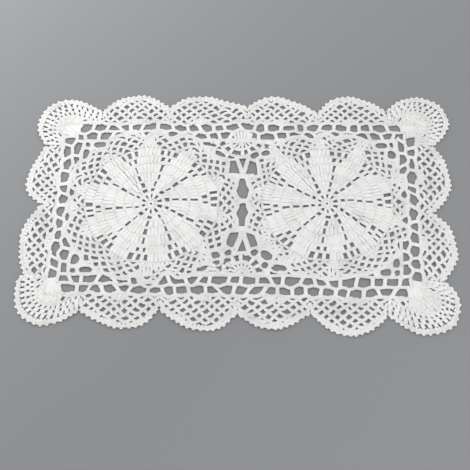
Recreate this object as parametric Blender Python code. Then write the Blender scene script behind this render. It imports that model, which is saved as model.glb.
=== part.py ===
"""A rectangular crocheted lace doily, laid flat on a table.

Two round medallions of ten petals lie side by side, joined down the middle. An open mesh of two
rows of cells frames both, and sixteen fan-shaped lobes edge the whole. It is one sheet of cotton
with its gaps cut through. The tables are in millimetres, seen from above with +Y away from the
viewer. The underside lies on Z = 0, and the origin is under the middle of the outline's box.
"""

import math
from collections import namedtuple

import bmesh
import bpy
from mathutils import Vector
from mathutils.geometry import delaunay_2d_cdt

MM = 0.001

# Height of the top face over the underside.
NET_HEIGHT = 1.7
PETAL_HEIGHT = 2.4
GROOVE_HEIGHT = 1.3
LOBE_HEIGHT = 2.2

# Half the width of the chain cords and of the upright stitches that bound a gap.
HALF_CORD = 1.4
HALF_POST = 1.6
LEAST_GAP_WIDTH = 2.2
HEXAGON_TAPER = 0.17

# Edging: each lobe is an arc from its own valley over its crest to the next lobe's valley,
# anticlockwise from the lower right.
Lobe = namedtuple("Lobe", "valley_x valley_y crest_x crest_y")
LOBES = (
    Lobe(208.0, -86.5, 222.5, -43.0),
    Lobe(203.0, -7.0, 223.5, 38.0),
    Lobe(210.0, 77.5, 218.0, 131.0),
    Lobe(162.0, 125.0, 121.5, 143.0),
    Lobe(86.5, 122.5, 45.5, 142.5),
    Lobe(9.5, 130.0, -43.0, 144.0),
    Lobe(-75.0, 129.0, -113.5, 146.5),
    Lobe(-149.5, 124.0, -206.5, 128.0),
    Lobe(-210.0, 78.5, -224.0, 34.0),
    Lobe(-208.0, 4.0, -226.5, -41.0),
    Lobe(-216.0, -80.5, -209.0, -128.0),
    Lobe(-158.5, -120.5, -119.5, -138.5),
    Lobe(-79.5, -120.5, -35.0, -141.0),
    Lobe(-2.0, -125.5, 37.0, -138.5),
    Lobe(71.0, -123.5, 110.0, -147.0),
    Lobe(147.5, -125.5, 209.0, -132.0),
)
PICOT_PITCH = 7.6
PICOT_DEPTH = 1.6
LOBE_FAN_POWER = 1.6
LOBE_RIDGE = (0.1, 0.45)

# Mesh frame: three chain rails, each given by its four corners clockwise from the upper left.
# A side's cells are counted in the same order. The medallions push the long rails out a little,
# and so does the fan at the top of the middle join.
OUTER_RAIL = ((-187.5, 106.5), (192.0, 106.0), (184.5, -106.0), (-194.5, -100.0))
MIDDLE_RAIL = ((-177.0, 95.5), (180.5, 95.0), (173.5, -94.0), (-183.5, -89.0))
INNER_RAIL = ((-167.0, 85.0), (171.0, 84.5), (164.5, -82.5), (-173.0, -78.0))
SIDE_CELLS = (24, 12, 24, 12)
RailPush = namedtuple("RailPush", "x side reach spread")
RAIL_PUSHES = (
    RailPush(-91.0, 0, 2.4, 26.0),
    RailPush(93.0, 0, 1.2, 26.0),
    RailPush(5.0, 0, 5.0, 9.0),
    RailPush(-91.0, 2, 1.2, 26.0),
    RailPush(118.0, 2, 2.6, 30.0),
)
CORNER_GAP = 6.0

# Medallions: ten petals of upright stitches, parted by gaps that lean as they go out.
Medallion = namedtuple("Medallion", "x y gap_inner gap_outer gap_angles")
MEDALLIONS = (
    Medallion(-91.0, 4.5, 58.0, 69.5, (4, 41, 76, 113, 149, 187, 224, 260, 295, 333)),
    Medallion(93.0, 4.5, 56.0, 67.5, (2, 43, 78, 114, 150, 186, 223, 260, 291, 323)),
)
PETAL_GAP_PITCH = 7.0
BAND_RADIUS = 90.5

# The petals stand proud of the grooves between them, along these radii.
GROOVE_RADII = (12.0, 22.0, 34.0, 46.0, 56.0)
GROOVE_LEAN = 7.0
GROOVE_HALF_WIDTH = 3.6

# Each corner of the inner rail is tied to a medallion by a few cords, with three gaps between.
Gap = namedtuple("Gap", "x y length width turn")
CORNER_GAPS = (
    Gap(-149.5, 79.5, 13.5, 6.5, 5.0),
    Gap(-164.0, 66.5, 12.0, 6.0, 78.0),
    Gap(-162.8, 79.0, 4.5, 4.5, 0.0),
    Gap(-155.0, -74.0, 13.0, 6.0, -5.0),
    Gap(-167.0, -62.0, 11.5, 8.0, 60.0),
    Gap(-168.0, -74.5, 5.5, 4.0, 0.0),
    Gap(153.0, 77.5, 13.0, 7.0, 0.0),
    Gap(163.5, 65.5, 11.0, 7.5, 85.0),
    Gap(164.5, 78.5, 4.6, 4.6, 0.0),
    Gap(148.5, -77.0, 12.0, 6.5, 5.0),
    Gap(159.5, -66.5, 11.5, 5.5, 85.0),
    Gap(160.5, -78.0, 4.8, 4.4, 0.0),
)

# Gaps between the frame and a medallion's round edge, where that edge's clusters leave one open.
# Each takes the place of the frame's own cell there.
OWN_PLACE = 11.0
BAND_GAPS = (
    Gap(-176.0, 18.5, 8.0, 6.4, 90.0),
    Gap(-178.0, -12.5, 9.5, 4.2, 80.0),
    Gap(172.0, 46.5, 9.5, 9.5, 80.0),
    Gap(173.0, 15.5, 9.5, 5.2, 75.0),
    Gap(173.0, -15.5, 8.4, 6.8, 60.0),
    Gap(167.0, -46.0, 10.0, 9.5, 80.0),
    Gap(-103.0, 93.5, 9.0, 3.6, 0.0),
    Gap(-80.0, 87.0, 6.4, 4.0, 0.0),
    Gap(-71.5, 93.0, 9.5, 5.4, 0.0),
    Gap(78.5, 89.5, 9.0, 4.2, 10.0),
    Gap(107.0, 92.5, 9.0, 3.8, 5.0),
    Gap(-107.0, -85.5, 8.8, 4.4, 0.0),
    Gap(-72.5, -84.5, 12.0, 7.4, 0.0),
    Gap(101.0, -90.0, 9.5, 4.0, -14.0),
    Gap(73.5, -87.0, 7.4, 6.6, 0.0),
)

# Middle join, from the upper fan to the lower one: gaps along the middles of their cords. The
# upper fan's base fills one cell of the frame's inner row.
JoinFan = namedtuple("JoinFan", "x y")
JOIN_FAN = JoinFan(2.0, 96.0)
JOIN_GAPS = (
    ((-11.8, 39.1), (4.1, 39.7), (-3.1, 60.8), (-11.3, 59.7)),
    ((4.1, 39.7), (20.6, 38.6), (20.6, 58.7), (11.3, 60.8)),
    ((4.1, 42.5), (10.8, 62.8), (-2.6, 62.8)),
    ((1.0, 8.5), (7.2, 8.5), (13.0, 20.0), (7.6, 37.5), (0.6, 37.5), (-4.8, 20.0)),
    ((-0.4, -24.5), (6.8, -24.5), (12.8, -9.6), (7.6, 6.5), (0.6, 6.5), (-4.8, -9.6)),
    ((2.1, -27.3), (-11.3, -29.9), (-14.9, -45.3), (-7.2, -49.4), (-3.6, -48.4)),
    ((5.2, -27.3), (10.3, -50.5), (20.6, -46.9), (16.5, -30.9)),
    ((3.6, -30.9), (-2.6, -54.1), (8.8, -54.1)),
)
JOIN_SIDE_GAPS = (
    Gap(-20.5, 67.0, 13.0, 5.0, -28.0),
    Gap(-32.0, 79.5, 16.0, 4.2, -14.0),
    Gap(17.5, 65.0, 9.5, 5.0, 28.0),
    Gap(29.0, 68.0, 9.0, 6.5, 38.0),
    Gap(-24.7, -56.6, 11.0, 7.5, 8.0),
    Gap(-10.3, -53.6, 9.0, 4.8, 22.0),
    Gap(15.4, -54.6, 7.5, 7.0, -50.0),
    Gap(28.0, -57.0, 13.5, 8.5, -42.0),
    Gap(-37.5, -72.0, 13.5, 4.0, 14.0),
    Gap(-23.5, -66.0, 8.0, 4.2, 30.0),
    Gap(26.5, -68.5, 6.0, 5.6, -30.0),
    Gap(40.5, -72.5, 16.0, 6.5, -12.0),
)

# The largest gaps of each lobe: its place along the lobe and from rail to crest, and its size.
LobeGap = namedtuple("LobeGap", "along out length width")
SIDE_LOBE_GAPS = (
    LobeGap(0.20, 0.58, 5.8, 4.4),
    LobeGap(0.33, 0.58, 5.6, 4.2),
    LobeGap(0.67, 0.58, 5.6, 4.2),
    LobeGap(0.80, 0.58, 5.8, 4.4),
)
CORNER_LOBE_GAPS = (
    LobeGap(0.10, 0.56, 5.4, 4.2),
    LobeGap(0.20, 0.60, 5.4, 4.2),
    LobeGap(0.80, 0.60, 5.4, 4.2),
    LobeGap(0.90, 0.56, 5.4, 4.2),
)
CORNER_LOBES = {2: 1, 7: 0, 10: 3, 15: 2}

# The fill keeps the faces inside its outlines, and joins no points.
FILL_INSIDE = 1
FILL_MERGE = 0.0

COTTON_COLOUR = (0.86, 0.86, 0.85, 1.0)
COTTON_ROUGHNESS = 0.9


def left_of(direction):
    """The direction a quarter turn anticlockwise from this one."""
    return Vector((-direction.y, direction.x))


def polar(medallion, radius, degrees):
    """The point at a radius and an angle from a medallion's middle."""
    angle = math.radians(degrees)
    return Vector((medallion.x + radius * math.cos(angle), medallion.y + radius * math.sin(angle)))


def anticlockwise(corners):
    """The same outline, turned round if it runs clockwise."""
    points = [Vector(corner) for corner in corners]
    twice_area = sum(points[index - 1].cross(point) for index, point in enumerate(points))
    return points if twice_area > 0.0 else points[::-1]


def inset(corners, margin):
    """An anticlockwise outline, moved inwards by a margin."""
    moved = []
    for index, here in enumerate(corners):
        before = (here - corners[index - 1]).normalized()
        after = (corners[(index + 1) % len(corners)] - here).normalized()
        inward = left_of(before) + left_of(after)
        moved.append(here + inward * margin / (1.0 + before.dot(after)))
    return moved


def hexagon(corners):
    """A four-cornered gap, drawn as the long hexagon that taut cords leave."""
    near_left, near_right, far_right, far_left = corners
    return [
        near_left.lerp(near_right, HEXAGON_TAPER),
        near_right.lerp(near_left, HEXAGON_TAPER),
        near_right.lerp(far_right, 0.5),
        far_right.lerp(far_left, HEXAGON_TAPER),
        far_left.lerp(far_right, HEXAGON_TAPER),
        far_left.lerp(near_left, 0.5),
    ]


def gap_in_cell(near_left, near_right, far_right, far_left):
    """The gap inside a cell of four cords, as a list of one, or of none where they close it."""
    run = (near_right - near_left).normalized()
    height = min(run.cross(far_left - near_left), run.cross(far_right - near_right))
    if height - 2.0 * HALF_CORD < LEAST_GAP_WIDTH:
        return []
    return [hexagon(inset(anticlockwise((near_left, near_right, far_right, far_left)), HALF_CORD))]


def turned_gap(middle, length, width, along):
    """A hexagonal gap about a point, its length along a unit direction."""
    across = left_of(along)
    return hexagon(
        [
            middle + along * (end * length / 2.0) + across * (side * width / 2.0)
            for end, side in ((-1, -1), (1, -1), (1, 1), (-1, 1))
        ]
    )


def middle_rail_point(side, share):
    """A point at a share of one side of the middle rail."""
    start, end = MIDDLE_RAIL[side], MIDDLE_RAIL[(side + 1) % len(MIDDLE_RAIL)]
    return Vector(start).lerp(Vector(end), share)


def rail_point(rail, side, share):
    """The point of a rail that faces a share of the middle rail's same side."""
    start, end = Vector(rail[side]), Vector(rail[(side + 1) % len(rail)])
    run = (end - start).normalized()
    point = start + run * (middle_rail_point(side, share) - start).dot(run)
    if rail is not INNER_RAIL:
        outward = left_of(run)
        for push in RAIL_PUSHES:
            if push.side == side:
                point += outward * push.reach * math.exp(-(((point.x - push.x) / push.spread) ** 2))
    return point


def outer_row_gaps():
    """The outer row of the mesh frame, with a small square gap at each corner."""
    gaps = []
    for side, count in enumerate(SIDE_CELLS):
        for cell in range(count):
            start, end = cell / count, (cell + 1) / count
            gaps += gap_in_cell(
                rail_point(MIDDLE_RAIL, side, start),
                rail_point(MIDDLE_RAIL, side, end),
                rail_point(OUTER_RAIL, side, end),
                rail_point(OUTER_RAIL, side, start),
            )
    for inner, outer in zip(MIDDLE_RAIL, OUTER_RAIL):
        middle = Vector(inner).lerp(Vector(outer), 0.5)
        gaps.append(turned_gap(middle, CORNER_GAP, CORNER_GAP, Vector((1.0, 0.0))))
    return gaps


def clear_of_medallions(point, outward):
    """The point, moved outward where it lies inside a medallion's round edge."""
    for medallion in MEDALLIONS:
        offset = point - Vector((medallion.x, medallion.y))
        if offset.length < BAND_RADIUS:
            along = offset.dot(outward)
            half_chord = math.sqrt(BAND_RADIUS**2 - offset.length_squared + along**2)
            point = point + outward * (half_chord - along)
    return point


def inner_row_gaps():
    """The inner row of the frame, half a cell out of step, shut where a medallion touches it."""
    taken = [Vector((gap.x, gap.y)) for gap in (*BAND_GAPS, JOIN_FAN)]
    gaps = []
    for side, count in enumerate(SIDE_CELLS):
        outward = left_of(middle_rail_point(side, 1.0) - middle_rail_point(side, 0.0)).normalized()
        for cell in range(count - 1):
            middle = rail_point(MIDDLE_RAIL, side, (cell + 1.0) / count)
            if any((middle - place).length < OWN_PLACE for place in taken):
                continue
            start, end = (cell + 0.5) / count, (cell + 1.5) / count
            gaps += gap_in_cell(
                clear_of_medallions(rail_point(INNER_RAIL, side, start), outward),
                clear_of_medallions(rail_point(INNER_RAIL, side, end), outward),
                rail_point(MIDDLE_RAIL, side, end),
                rail_point(MIDDLE_RAIL, side, start),
            )
    return gaps


def petal_gaps():
    """Three upright gaps between each two petals."""
    gaps = []
    for medallion in MEDALLIONS:
        for gap_angle in medallion.gap_angles:
            for step in (-1, 0, 1):
                low = gap_angle + (step - 0.5) * PETAL_GAP_PITCH
                high = low + PETAL_GAP_PITCH
                cell = (
                    polar(medallion, medallion.gap_inner, low),
                    polar(medallion, medallion.gap_outer, low),
                    polar(medallion, medallion.gap_outer, high),
                    polar(medallion, medallion.gap_inner, high),
                )
                gaps.append(hexagon(inset(anticlockwise(cell), HALF_POST)))
    return gaps


def join_gaps():
    """The gaps down the middle join."""
    return [inset(anticlockwise(corners), HALF_CORD) for corners in JOIN_GAPS]


def charted_gaps():
    """The single gaps beside the join's fans, at the corners and along the round edges."""
    gaps = []
    for gap in JOIN_SIDE_GAPS + CORNER_GAPS + BAND_GAPS:
        along = Vector((math.cos(math.radians(gap.turn)), math.sin(math.radians(gap.turn))))
        gaps.append(turned_gap(Vector((gap.x, gap.y)), gap.length, gap.width, along))
    return gaps


class LobeShape:
    """One lobe of the edging: its arc, and the stretch of outer rail that it fans out from."""

    def __init__(self, index):
        lobe, following = LOBES[index], LOBES[(index + 1) % len(LOBES)]
        start = Vector((lobe.valley_x, lobe.valley_y))
        crest = Vector((lobe.crest_x, lobe.crest_y))
        end = Vector((following.valley_x, following.valley_y))
        self.centre = circle_centre(start, crest, end)
        self.radius = (start - self.centre).length
        self.first_angle = math.atan2(*(start - self.centre).yx)
        self.turn = (math.atan2(*(end - self.centre).yx) - self.first_angle) % (2.0 * math.pi)
        self.foot_start, self.foot_end = nearest_on_rail(start), nearest_on_rail(end)
        corner = CORNER_LOBES.get(index)
        self.core = nearest_on_rail(crest) if corner is None else Vector(OUTER_RAIL[corner])

    def edge(self, along, drop=0.0):
        """A point of the lobe's arc, dropped inside it by a distance."""
        angle = self.first_angle + self.turn * along
        reach = self.radius - drop
        return self.centre + Vector((math.cos(angle), math.sin(angle))) * reach

    def foot(self, along):
        """The point of the rail that the stitches at this place fan out from."""
        lean = 2.0 * along - 1.0
        foot_end = self.foot_start if lean < 0.0 else self.foot_end
        return self.core.lerp(foot_end, abs(lean) ** LOBE_FAN_POWER)

    def point(self, along, out):
        """A point at a share along the lobe and a share from rail to crest."""
        return self.foot(along).lerp(self.edge(along), out)


def circle_centre(first, second, third):
    """The middle of the circle through three points."""
    to_second, to_third = second - first, third - first
    twice = 2.0 * to_second.cross(to_third)
    across = to_third.y * to_second.length_squared - to_second.y * to_third.length_squared
    up = to_second.x * to_third.length_squared - to_third.x * to_second.length_squared
    return first + Vector((across, up)) / twice


def nearest_on_rail(point):
    """The nearest point of the outer rail."""
    nearest = []
    for side, start in enumerate(OUTER_RAIL):
        run = Vector(OUTER_RAIL[(side + 1) % len(OUTER_RAIL)]) - Vector(start)
        share = (point - Vector(start)).dot(run) / run.length_squared
        nearest.append(Vector(start) + run * min(max(share, 0.0), 1.0))
    return min(nearest, key=lambda candidate: (candidate - point).length)


def lobe_gaps(shapes):
    """The largest gaps on both flanks of each lobe."""
    gaps = []
    for index, shape in enumerate(shapes):
        rows = CORNER_LOBE_GAPS if index in CORNER_LOBES else SIDE_LOBE_GAPS
        for row in rows:
            outward = (shape.edge(row.along) - shape.foot(row.along)).normalized()
            middle = shape.point(row.along, row.out)
            gaps.append(turned_gap(middle, row.length, row.width, outward))
    return gaps


def picot_outline(shapes):
    """The doily's outline: every lobe's arc, notched between its picots."""
    outline = []
    for shape in shapes:
        picots = round(shape.radius * shape.turn / PICOT_PITCH)
        for picot in range(picots):
            outline.append(shape.edge(picot / picots, PICOT_DEPTH if picot else 0.0))
            outline.append(shape.edge((picot + 0.5) / picots))
    return outline


def petal_relief():
    """Points and lines of the grooves between petals and of the petals' raised edges."""
    lines = []
    for medallion in MEDALLIONS:
        for gap_angle in medallion.gap_angles:
            for side in (-1, 0, 1):
                height = PETAL_HEIGHT if side else GROOVE_HEIGHT
                line = []
                for radius in GROOVE_RADII:
                    lean = GROOVE_LEAN * (1.0 - radius / medallion.gap_outer)
                    aside = math.degrees(side * GROOVE_HALF_WIDTH / radius)
                    line.append((polar(medallion, radius, gap_angle + lean + aside), height))
                lines.append(line)
    return lines


def lobe_relief(shapes):
    """The raised line up the middle of each lobe, where its stitches crowd together."""
    return [[(shape.point(0.5, out), LOBE_HEIGHT) for out in LOBE_RIDGE] for shape in shapes]


def triangles_between(outline, gaps, relief_lines):
    """The sheet's points, their relief heights and the triangles that fill it round its gaps."""
    points, heights, loops, edges = [], [], [], []
    for corners in [outline, *gaps]:
        loops.append(list(range(len(points), len(points) + len(corners))))
        points += corners
        heights += [NET_HEIGHT] * len(corners)
    for line in relief_lines:
        edges += [(len(points) + step, len(points) + step + 1) for step in range(len(line) - 1)]
        points += [point for point, _ in line]
        heights += [height for _, height in line]
    filled = delaunay_2d_cdt(points, edges, loops, FILL_INSIDE, FILL_MERGE)
    flat, _, faces, from_points, _, from_loops = filled
    heights = [heights[sources[0]] if sources else NET_HEIGHT for sources in from_points]
    kept = [face for face, loop_ids in zip(faces, from_loops) if list(loop_ids) == [0]]
    return flat, heights, kept, loops


def build_sheet(name, outline, gaps, relief_lines):
    """One closed sheet: a flat underside, walls round every gap and a top with its relief."""
    mesh = bmesh.new()
    flat, _, faces, loops = triangles_between(outline, gaps, [])
    lower = [mesh.verts.new((point.x, point.y, 0.0)) for point in flat]
    for face in faces:
        mesh.faces.new([lower[index] for index in reversed(face)])
    flat, heights, faces, _ = triangles_between(outline, gaps, relief_lines)
    upper = [mesh.verts.new((point.x, point.y, height)) for point, height in zip(flat, heights)]
    for face in faces:
        mesh.faces.new([upper[index] for index in face])
    for loop in loops:
        for index, here in enumerate(loop):
            before = loop[index - 1]
            mesh.faces.new((lower[before], lower[here], upper[here], upper[before]))
    bmesh.ops.recalc_face_normals(mesh, faces=mesh.faces)
    bmesh.ops.scale(mesh, vec=(MM, MM, MM), verts=mesh.verts)
    data = bpy.data.meshes.new(name)
    mesh.to_mesh(data)
    mesh.free()
    sheet = bpy.data.objects.new(name, data)
    bpy.context.scene.collection.objects.link(sheet)
    return sheet


def centred(outline):
    """How far to move the tables' points so that the outline's box is centred on the origin."""
    across = [point.x for point in outline]
    up = [point.y for point in outline]
    return -Vector((min(across) + max(across), min(up) + max(up))) / 2.0


def cotton():
    """Bleached mercerised cotton."""
    material = bpy.data.materials.new("bleached_cotton")
    material.use_nodes = True
    shader = material.node_tree.nodes["Principled BSDF"]
    shader.inputs["Base Color"].default_value = COTTON_COLOUR
    shader.inputs["Roughness"].default_value = COTTON_ROUGHNESS
    shader.inputs["Metallic"].default_value = 0.0
    return material


def main():
    """Clears the scene and builds the doily."""
    for item in list(bpy.data.objects):
        bpy.data.objects.remove(item, do_unlink=True)
    shapes = [LobeShape(index) for index in range(len(LOBES))]
    outline = picot_outline(shapes)
    gaps = outer_row_gaps() + inner_row_gaps() + petal_gaps()
    gaps += join_gaps() + charted_gaps() + lobe_gaps(shapes)
    relief_lines = petal_relief() + lobe_relief(shapes)
    shift = centred(outline)
    outline = [point + shift for point in outline]
    gaps = [[point + shift for point in gap] for gap in gaps]
    relief_lines = [[(point + shift, height) for point, height in line] for line in relief_lines]
    doily = build_sheet("lace_doily", outline, gaps, relief_lines)
    doily.data.materials.append(cotton())


main()
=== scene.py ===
"""A white crocheted lace doily, laid flat and seen from its near long side.

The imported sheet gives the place, the outline and the large gaps. Here every stitch is worked in
yarn over the same chart: upright posts for the petals and the rims, flat chain cords for the netting,
the frame and the rounds, and small points along the edge. Chart sizes are in millimetres, seen from
above with +Y away from the viewer.
"""

import logging
import math
from collections.abc import Callable, Sequence
from dataclasses import dataclass, field
from enum import Enum

import bpy
import numpy as np
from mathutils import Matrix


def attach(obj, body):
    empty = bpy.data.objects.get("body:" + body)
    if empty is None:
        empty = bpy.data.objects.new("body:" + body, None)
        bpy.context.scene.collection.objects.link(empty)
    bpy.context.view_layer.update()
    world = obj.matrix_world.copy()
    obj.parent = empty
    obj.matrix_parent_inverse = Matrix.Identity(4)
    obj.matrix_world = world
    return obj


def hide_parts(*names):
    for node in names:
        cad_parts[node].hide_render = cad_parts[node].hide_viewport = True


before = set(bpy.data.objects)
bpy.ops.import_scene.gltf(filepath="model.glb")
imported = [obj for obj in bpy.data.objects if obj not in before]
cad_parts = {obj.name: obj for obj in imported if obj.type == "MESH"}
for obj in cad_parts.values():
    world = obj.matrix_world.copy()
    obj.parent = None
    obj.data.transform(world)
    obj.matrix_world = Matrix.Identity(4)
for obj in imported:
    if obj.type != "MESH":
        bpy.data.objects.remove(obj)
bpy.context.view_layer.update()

MM = 0.001
NODE = "lace_doily"
BODY = "root"
SLOT = "bleached_cotton"
CHART_SHIFT = np.array((-0.26, 0.163))
TURN = 2.0 * math.pi
UP = np.array((0.0, 0.0, 1.0))
TINY = 1e-9
CORNER_CUT = 0.25
GAP_TAPER = 0.62
LINE_POINTS = 240
SECTOR_POINTS = 60
RING_POINTS = 181

log = logging.getLogger("doily")

Line = np.ndarray
"""A run of points, one a row, across and away, in chart millimetres."""


class Stitch(Enum):
    """How the yarn runs over a stitch: in chevrons along a chain, or wound round a post."""

    CHAIN = 0
    POST = 1


@dataclass(frozen=True)
class Gauge:
    """Sizes of the stitches, in millimetres, and the faces that go round them."""

    post_pitch: float = 3.8
    post_half_width: float = 1.98
    post_half_height: float = 0.6
    post_sides: int = 8
    post_steps: int = 6
    post_middle: float = 0.72
    post_arch: float = 0.14
    post_neck: float = 0.86
    post_round: float = 0.04
    post_ripple: float = 0.07
    post_tuck: float = 0.4
    place_drift: float = 0.06
    bow_drift: float = 0.08
    narrowest: float = 0.4
    widest: float = 1.35
    shortest: float = 1.6
    fill: float = 1.08
    clear_step: float = 0.4
    wrap_pitch: float = 2.3
    chain_length: float = 3.1
    chain_half_width: float = 1.68
    chain_half_height: float = 0.64
    chain_sides: int = 8
    chain_middle: float = 0.9
    chain_thickest: float = 1.1
    chain_start: float = 0.15
    chain_groove: float = 0.62
    chain_swell: float = 0.13
    chain_heave: float = 0.16
    chain_lag: float = 1.2
    chain_end: float = 0.8
    chain_skew: float = 1.5
    samples: int = 3
    underside: float = 0.4
    shoulder: float = 0.82
    loop_samples: int = 10
    loop_drift: float = 0.09
    crest_drift: float = 0.12
    net_power: float = 0.78
    edging_power: float = 0.92


GAUGE = Gauge()


@dataclass(frozen=True)
class Gap:
    """One charted gap: its middle, its length and width, and its turn in degrees."""

    x: float
    y: float
    length: float
    width: float
    turn: float

    def outline(self, margin: float = 0.0) -> Line:
        """The gap's long hexagon, grown by a margin all round.

        Args:
            margin: How far the gap is grown all round.

        Returns:
            The six corners, in order.
        """
        half_long = self.length / 2.0 + margin
        half_wide = self.width / 2.0 + margin
        taper = half_long * GAP_TAPER
        corners = np.array(
            (
                (-taper, -half_wide),
                (taper, -half_wide),
                (half_long, 0.0),
                (taper, half_wide),
                (-taper, half_wide),
                (-half_long, 0.0),
            )
        )
        angle = math.radians(self.turn)
        along = np.array((math.cos(angle), math.sin(angle)))
        across = np.array((-along[1], along[0]))
        return np.array((self.x, self.y)) + corners[:, :1] * along + corners[:, 1:] * across

    def holds(self, points: Line, margin: float = 0.0) -> np.ndarray:
        """Whether each point lies in the gap, grown by a margin.

        Args:
            points: The points.
            margin: How far the gap is grown all round.

        Returns:
            The answer for each point.
        """
        angle = math.radians(self.turn)
        offset = points - np.array((self.x, self.y))
        along = abs(offset @ np.array((math.cos(angle), math.sin(angle))))
        across = abs(offset @ np.array((-math.sin(angle), math.cos(angle))))
        half_long = self.length / 2.0 + margin
        half_wide = self.width / 2.0 + margin
        slope = np.clip((half_long - along) / ((1.0 - GAP_TAPER) * half_long), 0.0, 1.0)
        return (along < half_long) & (across < half_wide * slope)


CORNER_GAPS = (
    Gap(-149.5, 79.5, 13.5, 6.5, 5.0),
    Gap(-164.0, 66.5, 12.0, 6.0, 78.0),
    Gap(-162.8, 79.0, 4.5, 4.5, 0.0),
    Gap(-155.0, -74.0, 13.0, 6.0, -5.0),
    Gap(-167.0, -62.0, 11.5, 8.0, 60.0),
    Gap(-168.0, -74.5, 5.5, 4.0, 0.0),
    Gap(153.0, 77.5, 13.0, 7.0, 0.0),
    Gap(163.5, 65.5, 11.0, 7.5, 85.0),
    Gap(164.5, 78.5, 4.6, 4.6, 0.0),
    Gap(148.5, -77.0, 12.0, 6.5, 5.0),
    Gap(159.5, -66.5, 11.5, 5.5, 85.0),
    Gap(160.5, -78.0, 4.8, 4.4, 0.0),
)
BAND_GAPS = (
    Gap(-176.0, 18.5, 8.0, 6.4, 90.0),
    Gap(-178.0, -12.5, 9.5, 4.2, 80.0),
    Gap(172.0, 46.5, 9.5, 9.5, 80.0),
    Gap(173.0, 15.5, 9.5, 5.2, 75.0),
    Gap(173.0, -15.5, 8.4, 6.8, 60.0),
    Gap(167.0, -46.0, 10.0, 9.5, 80.0),
    Gap(-103.0, 93.5, 9.0, 3.6, 0.0),
    Gap(-71.5, 93.0, 9.5, 5.4, 0.0),
    Gap(78.5, 89.5, 9.0, 4.2, 10.0),
    Gap(107.0, 92.5, 9.0, 3.8, 5.0),
    Gap(-107.0, -85.5, 8.8, 4.4, 0.0),
    Gap(-72.5, -84.5, 12.0, 7.4, 0.0),
    Gap(101.0, -90.0, 9.5, 4.0, -14.0),
    Gap(73.5, -87.0, 7.4, 6.6, 0.0),
)
JOIN_SIDE_GAPS = (
    Gap(-20.5, 67.0, 13.0, 5.0, -28.0),
    Gap(-32.0, 79.5, 16.0, 4.2, -14.0),
    Gap(17.5, 65.0, 9.5, 5.0, 28.0),
    Gap(29.0, 68.0, 9.0, 6.5, 38.0),
    Gap(-24.7, -56.6, 11.0, 7.5, 8.0),
    Gap(-10.3, -53.6, 9.0, 4.8, 22.0),
    Gap(15.4, -54.6, 7.5, 7.0, -50.0),
    Gap(28.0, -57.0, 13.5, 8.5, -42.0),
    Gap(-37.5, -72.0, 13.5, 4.0, 14.0),
    Gap(-23.5, -66.0, 8.0, 4.2, 30.0),
    Gap(26.5, -68.5, 6.0, 5.6, -30.0),
    Gap(40.5, -72.5, 16.0, 6.5, -12.0),
)


JOIN_GAPS = (
    ((-11.8, 38.6), (3.2, 39.2), (-3.1, 60.8), (-11.3, 59.7)),
    ((5.0, 39.2), (20.6, 38.2), (20.6, 57.7), (11.3, 60.8)),
    ((4.1, 42.0), (10.4, 62.4), (-2.2, 62.4)),
    (
        (1.4, 8.2),
        (7.0, 8.2),
        (10.5, 13.5),
        (12.9, 21.5),
        (9.4, 28.0),
        (8.2, 37.8),
        (0.2, 37.8),
        (-1.0, 28.0),
        (-4.5, 21.5),
        (-2.1, 13.5),
    ),
    (
        (-0.9, 6.6),
        (7.7, 6.6),
        (8.3, -0.5),
        (11.8, -7.5),
        (8.6, -14.0),
        (8.0, -24.0),
        (-1.2, -24.0),
        (-1.8, -14.0),
        (-5.0, -7.5),
        (-1.5, -0.5),
    ),
    ((2.1, -27.3), (-3.6, -48.4), (-7.2, -49.4), (-14.9, -45.3), (-11.3, -29.9)),
    ((5.2, -27.3), (10.3, -50.5), (20.6, -46.9), (16.5, -30.9)),
    ((3.6, -30.9), (-2.6, -54.1), (8.8, -54.1)),
)


def inside(points: Line, corners: Sequence[Sequence[float]], margin: float = 0.0) -> np.ndarray:
    """Whether each point lies in a corner-to-corner outline, grown by a margin.

    Args:
        points: The points.
        corners: The outline's corners, in order.
        margin: How far past the outline still counts, or if it is negative, short of it.

    Returns:
        The answer for each point.
    """
    outline = np.array(corners)
    held = np.zeros(points.shape[:-1], dtype=bool)
    nearest = np.full(points.shape[:-1], np.inf)
    for start, end in zip(outline, np.roll(outline, -1, axis=0)):
        run, offset = end - start, points - start
        share = np.clip(offset @ run / (run @ run), 0.0, 1.0)
        nearest = np.minimum(nearest, np.linalg.norm(offset - share[..., None] * run, axis=-1))
        spans = (start[1] > points[..., 1]) != (end[1] > points[..., 1])
        crossing = start[0] + run[0] * offset[..., 1] / (run[1] if run[1] else 1.0)
        held ^= spans & (points[..., 0] < crossing)
    return held | (nearest < margin) if margin > 0.0 else held & (nearest > -margin)


def unit(vectors: np.ndarray) -> np.ndarray:
    """The same vectors at length one."""
    return vectors / np.maximum(np.linalg.norm(vectors, axis=-1, keepdims=True), TINY)


def left_of(vectors: Line) -> Line:
    """The flat vectors turned a quarter turn anticlockwise."""
    return np.stack((-vectors[..., 1], vectors[..., 0]), axis=-1)


def resample(line: Line, step: float, least: int = 3) -> Line:
    """Even points along a line.

    Args:
        line: The line's points.
        step: The distance wanted between points.
        least: The fewest points to return.

    Returns:
        The new points, with the same two ends.
    """
    lengths = np.linalg.norm(np.diff(line, axis=0), axis=1)
    travel = np.concatenate(([0.0], np.cumsum(lengths)))
    count = max(least, int(round(travel[-1] / step)) + 1)
    where = np.linspace(0.0, travel[-1], count)
    return np.stack([np.interp(where, travel, column) for column in line.T], axis=1)


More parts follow.
